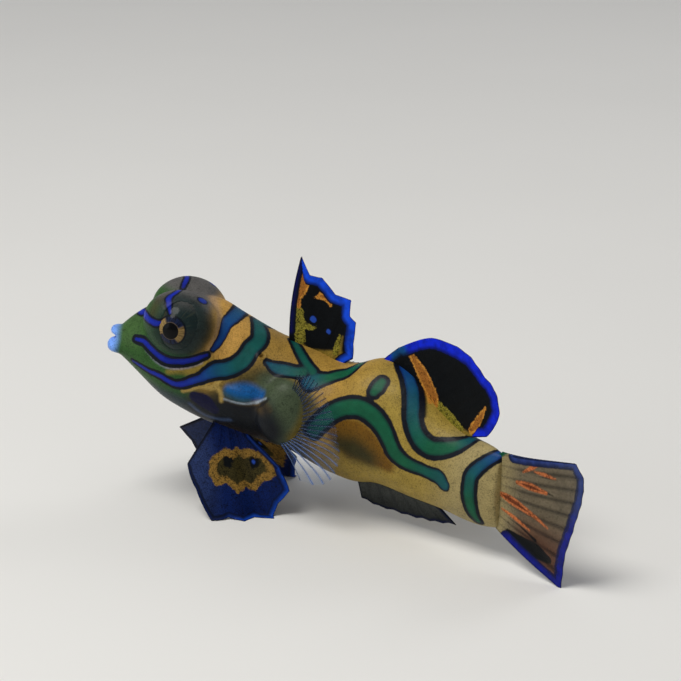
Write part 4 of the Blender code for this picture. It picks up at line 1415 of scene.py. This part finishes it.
class FishColours(bpy.types.PropertyGroup):
    """Colours of the fish."""

    flank: tint("Flank", "Ground colour of the flank", (0.43, 0.25, 0.045))
    rear_flank: tint("Rear flank", "Ground colour of the flank towards the tail", (0.36, 0.25, 0.045))
    nape: tint("Nape", "Ground colour behind the head", (0.30, 0.18, 0.036))
    cheek: tint("Cheek", "Ground colour behind the eye", (0.56, 0.31, 0.07))
    eye_strip: tint("Eye strip", "Pinkish strip behind the eye", (0.42, 0.27, 0.14))
    # The belly's colour, kept dark as painted shade on the underside.
    belly: tint("Belly", "Ground colour under the body", (0.15, 0.10, 0.012))
    stalk: tint("Tail stalk", "Ground colour of the tail stalk", (0.36, 0.29, 0.13))
    gold_oval: tint("Gold oval", "Tan field inside the belly arc", (0.17, 0.078, 0.004))
    dark_olive: tint("Dark olive", "Middle of that field", (0.028, 0.028, 0.006))
    face: tint("Face", "Green of snout, cheek and jaw", (0.028, 0.095, 0.018))
    snout: tint("Snout", "Paler olive green of the snout", (0.07, 0.14, 0.04))
    face_gold: tint("Face gold", "Olive tan between the cheek bands", (0.32, 0.22, 0.035))
    lilac: tint("Lilac", "Pale line under the upper cheek band", (0.38, 0.36, 0.50))
    brow: tint("Brow", "Grey-brown top of the head", (0.10, 0.095, 0.09))
    eye_skin: tint("Eye skin", "Dark teal skin round the eye", (0.012, 0.024, 0.024))
    eye_olive: tint("Eye olive", "Olive-brown patch in front of the eye", (0.06, 0.05, 0.02))
    eye_streak: tint("Eye streaks", "Fine streaks on the eyeball", (0.05, 0.055, 0.035))
    lips: tint("Lips", "Pale blue lips", (0.2, 0.4, 0.98))
    throat: tint("Throat", "Dark blue-grey throat", (0.012, 0.022, 0.045))
    lobe: tint("Fin lobe", "Olive lobe at the pectoral fin's root", (0.058, 0.08, 0.042))
    # Partly the skin's dark olive, partly painted shade in front of the lobe.
    lobe_front_olive_and_shade: tint("Lobe front", "Dark olive and painted shade in front of that lobe", (0.045, 0.04, 0.012))
    lobe_rim: tint("Lobe rim", "Yellowish hind edge of that lobe", (0.17, 0.12, 0.012))
    # Painted shade: the near-black that stands in for the shade below the flap, the lobe and the chest.
    shadow: tint("Painted shade", "Painted shade below the flap and under the chest", (0.004, 0.006, 0.009))
    green: tint("Green bands", "Green of the bands", (0.004, 0.09, 0.04))
    blue: tint("Blue bands", "Blue of the bands", (0.004, 0.022, 0.36))
    outline: tint("Outlines", "Blue-black outlines", (0.0015, 0.003, 0.008))
    jaw_gold: tint("Jaw gold", "Gold line on the jaw", (0.46, 0.31, 0.08))
    navy: tint("Navy patch", "Dark blue patch on the throat", (0.0004, 0.0008, 0.03))
    gill_stripe: tint("Gill stripe", "Grey-blue stripe below that patch", (0.05, 0.08, 0.16))
    flap: tint("Flap", "Blue of the cheek flap", (0.004, 0.085, 0.28))
    flap_front: tint("Flap front", "Teal front of the flap", (0.004, 0.07, 0.10))
    # Partly the flap's pale edge, partly a painted highlight along it.
    pale: tint("Flap edge", "Pale lower edge of the flap", (0.42, 0.50, 0.58))
    iris_gold: tint("Iris gold", "Gold parts of the iris", (0.26, 0.17, 0.06))
    iris_brown: tint("Iris brown", "Brown rays in the gold", (0.06, 0.035, 0.012))
    iris_blue: tint("Iris blue", "Dark blue parts of the iris", (0.008, 0.014, 0.045))
    first_blue: tint("First fin blue", "Margin of the first dorsal fin", (0.006, 0.07, 0.72))
    first_navy: tint("First fin navy", "Front edge of that fin", (0.004, 0.004, 0.10))
    second_blue: tint("Second fin blue", "Margin of the second dorsal fin", (0.004, 0.02, 0.62))
    spot_blue: tint("Spot blue", "Blue spots in the black of the fins", (0.016, 0.06, 0.36))
    fin_black: tint("Fin black", "Black fields of the fins", (0.002, 0.003, 0.004))
    fin_gold: tint("Fin gold", "Orange streaks of the dorsal fins", (0.62, 0.27, 0.04))
    fin_rust: tint("Fin rust", "Darker cores of those streaks", (0.34, 0.12, 0.02))
    olive: tint("Fin olive", "Olive speckles in the black", (0.28, 0.24, 0.03))
    fin_base: tint("Fin base", "Tan gold at the dorsal fins' roots", (0.28, 0.19, 0.03))
    tail_gold: tint("Tail gold", "Orange streaks of the tail fin", (0.55, 0.16, 0.05))
    tail_rust: tint("Tail rust", "Dark red cores of those streaks", (0.10, 0.022, 0.008))
    tail_ground: tint("Tail ground", "Grey-brown web of the tail fin", (0.15, 0.12, 0.075))
    tail_blue: tint("Tail blue", "Lower and rear margin of the tail fin", (0.003, 0.008, 0.24))
    tail_grey: tint("Tail grey-blue", "Upper margin of the tail fin", (0.025, 0.05, 0.22))
    pelvic_olive: tint("Pelvic olive", "Dark olive field of the pelvic fins", (0.045, 0.036, 0.010))
    pelvic_gold: tint("Pelvic gold", "Speckled rim of that field", (0.27, 0.15, 0.03))
    pelvic_blue: tint("Pelvic blue", "Blue of the pelvic fins' edges", (0.004, 0.05, 0.38))
    pelvic_navy: tint("Pelvic navy", "Dark blue of the pelvic fins", (0.002, 0.012, 0.085))
    pelvic_grey: tint("Pelvic grey-blue", "Middles of the black spots", (0.06, 0.09, 0.17))
    pectoral_web: tint("Pectoral web", "Clear web of the pectoral fins", (0.20, 0.28, 0.42))
    pectoral_ray: tint("Pectoral rays", "Rays of the pectoral fins, above", (0.010, 0.03, 0.09))
    pectoral_low: tint("Low rays", "Rays of the pectoral fins, below", (0.14, 0.24, 0.55))
    anal_web: tint("Anal fin", "Dusky web of the anal fin", (0.06, 0.065, 0.06))


class FishStudio(bpy.types.PropertyGroup):
    """Floor, light and camera."""

    floor_colour: tint("Floor", "Colour of the floor", (0.80, 0.79, 0.76))
    key_power: brightness("Key light", "Power of the soft light overhead", 1.5)
    fill_power: brightness("Fill light", "Power of the soft lights in front and behind", 0.28)
    sky: FloatProperty(name="Surround", description="Brightness of the pale surround", default=0.3, min=0)
    lens: FloatProperty(
        name="Lens", description="Focal length of the camera", default=LENS, subtype="DISTANCE_CAMERA")
    azimuth: bearing("Azimuth", "Turn of the camera from straight abeam", CAMERA_TURN)
    elevation: bearing("Elevation", "Height of the camera as an angle", CAMERA_RISE)
    distance: width("Distance", "Camera to the middle of the picture", CAMERA_DISTANCE * MM)


# One operator for each piece or group of like pieces, and one for the studio.

def even(count):
    """Places across a fin for so many rays, evenly spaced."""
    return np.linspace(0, 1, count)


def midline(mesh):
    """Station and height above the spine of a mesh's points."""
    return unbend(read_points(mesh))[:, [0, 2]]


class FishStep:
    """What every step shares: it makes its pieces in the fish's colours and then says that it is done."""

    def execute(self, context):
        self.make(context, context.scene.fish_colours)
        return {"FINISHED"}


class FISH_OT_skin(FishStep, bpy.types.Operator):
    """Makes the fish's skin, from lips to tail root"""

    bl_idname = "fish.skin"
    bl_label = "Skin"

    def make(self, context, colours):
        detail = context.scene.fish_sizes.skin_detail / MM
        mesh = new_mesh("skin", *skin_form(detail))
        paint_body(mesh, colours, body_tree(detail), skin_ground, SOFT_MARKS)
        material = skin_material("skin", colours, 0.45, 0.05)
        nodes = ("head", "trunk", "tail_stalk", "pectoral_base_left", "pectoral_base_right")
        finished("skin", mesh, material, "skin", *nodes)


class FISH_OT_eyes(FishStep, bpy.types.Operator):
    """Makes both eyeballs, with iris and pupil painted on under gloss"""

    bl_idname = "fish.eyes"
    bl_label = "Eyes"

    def make(self, context, colours):
        tree = body_tree(context.scene.fish_sizes.skin_detail / MM)
        material = eye_material(colours)
        for side, word in ((1, "left"), (-1, "right")):
            centre, axes = eye_centre(side), eye_axes(side, IRIS_FORWARD, IRIS_UP)
            gaze, over, across = axes
            mesh = new_mesh(f"eyeball_{word}", *turned(eye_profile(), centre, axes))
            paint_body(mesh, colours, tree, eye_ground, EYE_MARKS)
            from_centre = read_points(mesh) - centre
            rise, along, height = (from_centre @ axis for axis in (gaze, across, over))
            reach = np.where(rise > 0, np.hypot(along, height), EYE_BALL_RADIUS)
            angle = np.arctan2(height, along)
            set_values(mesh, reach=reach, iris_gold=ease(np.abs(np.cos(angle - IRIS_TILT)), 0.68, 0.84))
            wheel = np.column_stack([np.cos(angle) * 9, np.sin(angle) * 9, reach * 1.1])
            set_field(mesh, "spokes", "FLOAT_VECTOR", "vector", wheel)
            finished(f"eyeball_{word}", mesh, material, "eye", f"eye_{word}")


class FISH_OT_dorsal_fins(FishStep, bpy.types.Operator):
    """Makes the two fins of the back"""

    bl_idname = "fish.dorsal_fins"
    bl_label = "Dorsal fins"

    def make(self, context, colours):
        material = fin_material("dorsal web", colours, colours.fin_gold, colours.fin_rust, wander=0.8)
        self.first(context, colours, material)
        self.second(context, colours, material)

    def first(self, context, colours, material):
        """The tall spined fin."""
        rays = [row[0] for row in FIRST_DORSAL_RAYS]
        point = median_fin(FIRST_DORSAL_RAYS, True, False, FIRST_DORSAL_BOW)
        mesh, fields = fin_mesh(
            context, "first_dorsal_web", point, rays, material, 0, **FIRST_DORSAL_FORM)
        places = midline(mesh)
        base = ease(flat_marks(places, FIRST_DORSAL_TAN), 0.15, -0.25)
        ground = layered(colours.fin_black, len(places), (colours.fin_base, base))
        margin = layered(colours.first_blue, len(places), (colours.first_navy, fields[:, 3] < 0.02))
        paint_fin(
            mesh, fields, ground, margin,
            rim=rim_field(fields, *FIRST_DORSAL_RIM),
            open=flat_marks(places, FIRST_DORSAL_OLIVE), gold=flat_marks(places, FIRST_DORSAL_GOLD),
            spot=flat_marks(places, FIRST_DORSAL_SPOTS))
        finished("first_dorsal_web", mesh, material, "first_dorsal_fin", "first_dorsal_fin")

    def second(self, context, colours, material):
        """The longer soft-rayed fin."""
        point = median_fin(SECOND_DORSAL_RAYS, True, True)
        mesh, fields = fin_mesh(
            context, "second_dorsal_web", point, even(SECOND_DORSAL_RAY_COUNT), material,
            context.scene.fish_sizes.ray_joints, **SECOND_DORSAL_FORM)
        places = midline(mesh)
        base = ease(flat_marks(places, SECOND_DORSAL_BASE), 0.25, -0.2)
        ground = layered(colours.fin_black, len(places), (colours.fin_base, base))
        loop = ease(flat_marks(places, (BACK_LOOP[:4],)), 0.8, 0)
        margin = layered(colours.second_blue, len(places), (colours.green, loop * 0.7))
        rim = rim_field(fields, *SECOND_DORSAL_RIM)
        low_rear = ease(fields[:, 3], 1.2, 1.6) * ease(fields[:, 0], 0.6, 0.4) * FAR_OFF
        paint_fin(
            mesh, fields, ground, margin, rim=rim + low_rear, open=flat_marks(places, SECOND_DORSAL_OLIVE),
            gold=flat_marks(places, SECOND_DORSAL_GOLD))
        finished("second_dorsal_web", mesh, material, "second_dorsal_fin", "second_dorsal_fin")


class FISH_OT_anal_fin(FishStep, bpy.types.Operator):
    """Makes the low fin under the tail stalk"""

    bl_idname = "fish.anal_fin"
    bl_label = "Anal fin"

    def make(self, context, colours):
        material = fin_material(
            "anal web", colours, colours.tail_gold, colours.tail_rust, softness=0.2, ink=0.0)
        point = median_fin(ANAL_RAYS, False, True)
        mesh, fields = fin_mesh(
            context, "anal_web", point, even(ANAL_RAY_COUNT), material,
            context.scene.fish_sizes.ray_joints, **ANAL_FORM)
        ground = layered(colours.anal_web, len(fields), (colours.fin_black, ease(fields[:, 0], 0.4, 1) * 0.6))
        margin = layered(colours.pelvic_navy, len(fields))
        paint_fin(mesh, fields, ground, margin, rim=rim_field(fields, *ANAL_RIM))
        finished("anal_web", mesh, material, "anal_fin", "anal_fin")


class FISH_OT_tail_fin(FishStep, bpy.types.Operator):
    """Makes the tail fin"""

    bl_idname = "fish.tail_fin"
    bl_label = "Tail fin"

    def make(self, context, colours):
        material = fin_material(
            "tail web", colours, colours.tail_gold, colours.tail_rust, softness=0.1, ink=0.03, wander=0.12,
            see_through=True)
        mesh, fields = fin_mesh(
            context, "tail_web", tail_fin, even(TAIL_RAY_COUNT), material,
            context.scene.fish_sizes.ray_joints + TAIL_EXTRA_JOINTS, **TAIL_FORM)
        places = midline(mesh)
        u, v, off = fields[:, 0], fields[:, 1], fields[:, 4]
        ground = layered(
            colours.tail_ground, len(places),
            (colours.stalk, ease(u, 0.35, 0.0) * 0.85),
            (colours.tail_rust, ease(v, 0.45, 0.8) * ease(u, 0.15, 0.5) * 0.7),
            (colours.fin_black, ease(off, 0.6, 0.1) * ease(u, 0.1, 0.4) * 0.4),
            (colours.green, ease(flat_marks(places, (STALK_BAND[:4],)), 0.1, -0.1)))
        margin = layered(colours.tail_grey, len(places), (colours.tail_blue, ease(v, 0.3, 0.6)))
        paint_fin(
            mesh, fields, ground, margin, rim=rim_field(fields, *TAIL_RIM),
            gold=flat_marks(places, TAIL_GOLD), dark=flat_marks(places, TAIL_DARK) + TAIL_DARK_INSET,
            clear=ease(u, 0.35, 0.95) * 0.15)
        finished("tail_web", mesh, material, "tail_fin", "tail_fin")


class FISH_OT_pectoral_fins(FishStep, bpy.types.Operator):
    """Makes the clear fans behind the lobes on the flanks"""

    bl_idname = "fish.pectoral_fins"
    bl_label = "Pectoral fins"

    def make(self, context, colours):
        material = fin_material(
            "pectoral web", colours, colours.tail_gold, colours.tail_rust, roughness=0.3, coat=0.15,
            specks=0.1, see_through=True, fringe=0.01)
        joints = context.scene.fish_sizes.ray_joints
        for side, word, rows in ((1, "left", LEFT_PECTORAL_RAYS), (-1, "right", RIGHT_PECTORAL_RAYS)):
            mesh, fields = fin_mesh(
                context, f"pectoral_web_{word}", pectoral_fin(rows, side), even(PECTORAL_RAY_COUNT), material,
                joints, **PECTORAL_FORM)
            on_ray = ease(fields[:, 4], 0.3, 0.03)
            low = ease(fields[:, 1], 0.55, 0.95)
            ray = layered(colours.pectoral_ray, len(fields), (colours.pectoral_low, low))
            web = layered(colours.pectoral_web, len(fields), (colours.pectoral_ray, (1 - low) * 0.6))
            ground = web + (ray - web) * on_ray[:, None]
            paint_fin(mesh, fields, ground, ground, clear=0.95 - 0.45 * on_ray)
            finished(f"pectoral_web_{word}", mesh, material, "pectoral_fin", f"pectoral_fin_{word}")


class FISH_OT_pelvic_fins(FishStep, bpy.types.Operator):
    """Makes the broad fins under the chest that the fish props itself on"""

    bl_idname = "fish.pelvic_fins"
    bl_label = "Pelvic fins"

    def make(self, context, colours):
        material = fin_material(
            "pelvic web", colours, colours.pelvic_gold, colours.pelvic_olive, softness=0.12, ink=0.1,
            wander=0.9, specks=0.6, cored=0.0)
        left = pelvic_fin(LEFT_PELVIC_RAYS, 1)
        tree = grid_tree(left(*np.meshgrid(even(60), even(160), indexing="ij")))
        joints = context.scene.fish_sizes.ray_joints
        for side, word, rays in ((1, "left", LEFT_PELVIC_RAYS), (-1, "right", RIGHT_PELVIC_RAYS)):
            mesh, fields = fin_mesh(
                context, f"pelvic_web_{word}", pelvic_fin(rays, side), even(len(rays)), material, joints,
                **PELVIC_FORM)
            u, v = fields[:, 0], fields[:, 1]
            places = unbend(left(u, v))

            def beyond(*routes):
                return beyond_strokes(places, [cast(route, tree) for route in routes])

            oval = beyond(PELVIC_OVAL)
            ground = layered(
                colours.pelvic_navy, len(places),
                (colours.pelvic_grey, ease(v, 0.3, 0.12) * ease(u, 0.2, 0.6) * 0.25),
                (colours.pelvic_olive, ease(oval, 0.1, -0.2)))
            margin = layered(colours.pelvic_blue, len(places), (colours.pelvic_navy, ease(v, 0.45, 0.2)))
            paint_fin(
                mesh, fields, ground, margin,
                rim=rim_field(fields, *PELVIC_RIM),
                gold=np.abs(oval + PELVIC_RING_INSET) - PELVIC_RING_HALF_WIDTH,
                dark=beyond(*PELVIC_SPOTS), spot=beyond(*PELVIC_CENTRES))
            finished(f"pelvic_web_{word}", mesh, material, "pelvic_fin", f"pelvic_fin_{word}")


class FISH_OT_studio(FishStep, bpy.types.Operator):
    """Makes the floor, the soft lights and the camera"""

    bl_idname = "fish.studio"
    bl_label = "Studio"

    def make(self, context, colours):
        studio = context.scene.fish_studio
        corners = [(x * FLOOR_REACH, y * FLOOR_REACH, 0) for x, y in ((-1, -1), (1, -1), (1, 1), (-1, 1))]
        mesh = bpy.data.meshes.new("floor")
        mesh.from_pydata(corners, [], [(0, 1, 2, 3)])
        mesh.materials.append(floor_material(studio.floor_colour))
        floor = new_object("floor", mesh)
        world = bpy.data.worlds.new("surround")
        world.use_nodes = True
        sky = world.node_tree.nodes["Background"]
        sky.inputs["Color"].default_value = SKY_COLOUR
        sky.inputs["Strength"].default_value = studio.sky
        context.scene.world = world
        middle = Vector(CAMERA_AIM) * MM
        for name, at, size, setting, colour in LIGHTS:
            data = bpy.data.lights.new(name, "AREA")
            data.shape = "DISK"
            data.size = size
            data.energy = getattr(studio, setting)
            data.color = colour
            lamp = new_object(name, data)
            lamp.location = at
            lamp.rotation_euler = (middle - Vector(at)).to_track_quat("-Z", "Y").to_euler()
        data = bpy.data.cameras.new("camera")
        data.lens = studio.lens
        data.sensor_width = SENSOR
        data.clip_start = 0.01
        data.clip_end = 20
        camera = new_object("camera", data)
        away = Vector(camera_axes(studio.azimuth, studio.elevation)[0])
        camera.location = middle + away * studio.distance
        camera.rotation_euler = (-away).to_track_quat("-Z", "Y").to_euler()
        context.scene.camera = camera
        context.scene.view_settings.view_transform = "Standard"


class FISH_PT_panel(bpy.types.Panel):
    """The fish's settings and the steps that make it"""

    bl_idname = "FISH_PT_panel"
    bl_label = "Mandarinfish"
    bl_space_type = "VIEW_3D"
    bl_region_type = "UI"
    bl_category = "Mandarinfish"

    def draw(self, context):
        scene = context.scene
        for label, group, kind in (
            ("Sizes", scene.fish_sizes, FishSizes), ("Colours", scene.fish_colours, FishColours),
            ("Studio", scene.fish_studio, FishStudio),
        ):
            box = self.layout.box()
            box.label(text=label)
            for key in kind.__annotations__:
                box.prop(group, key)
        for step in STEPS:
            self.layout.operator(step.bl_idname)


STEPS = (
    FISH_OT_skin, FISH_OT_eyes, FISH_OT_dorsal_fins, FISH_OT_anal_fin, FISH_OT_tail_fin,
    FISH_OT_pectoral_fins, FISH_OT_pelvic_fins, FISH_OT_studio,
)
SETTINGS = (FishSizes, FishColours, FishStudio)


def register():
    for kind in SETTINGS + STEPS + (FISH_PT_panel,):
        bpy.utils.register_class(kind)
    bpy.types.Scene.fish_sizes = PointerProperty(type=FishSizes)
    bpy.types.Scene.fish_colours = PointerProperty(type=FishColours)
    bpy.types.Scene.fish_studio = PointerProperty(type=FishStudio)


def unregister():
    del bpy.types.Scene.fish_sizes, bpy.types.Scene.fish_colours, bpy.types.Scene.fish_studio
    for kind in reversed(SETTINGS + STEPS + (FISH_PT_panel,)):
        bpy.utils.unregister_class(kind)


def main():
    register()
    for step in STEPS:
        family, name = step.bl_idname.split(".")
        getattr(getattr(bpy.ops, family), name)()


if __name__ == "__main__":
    main()
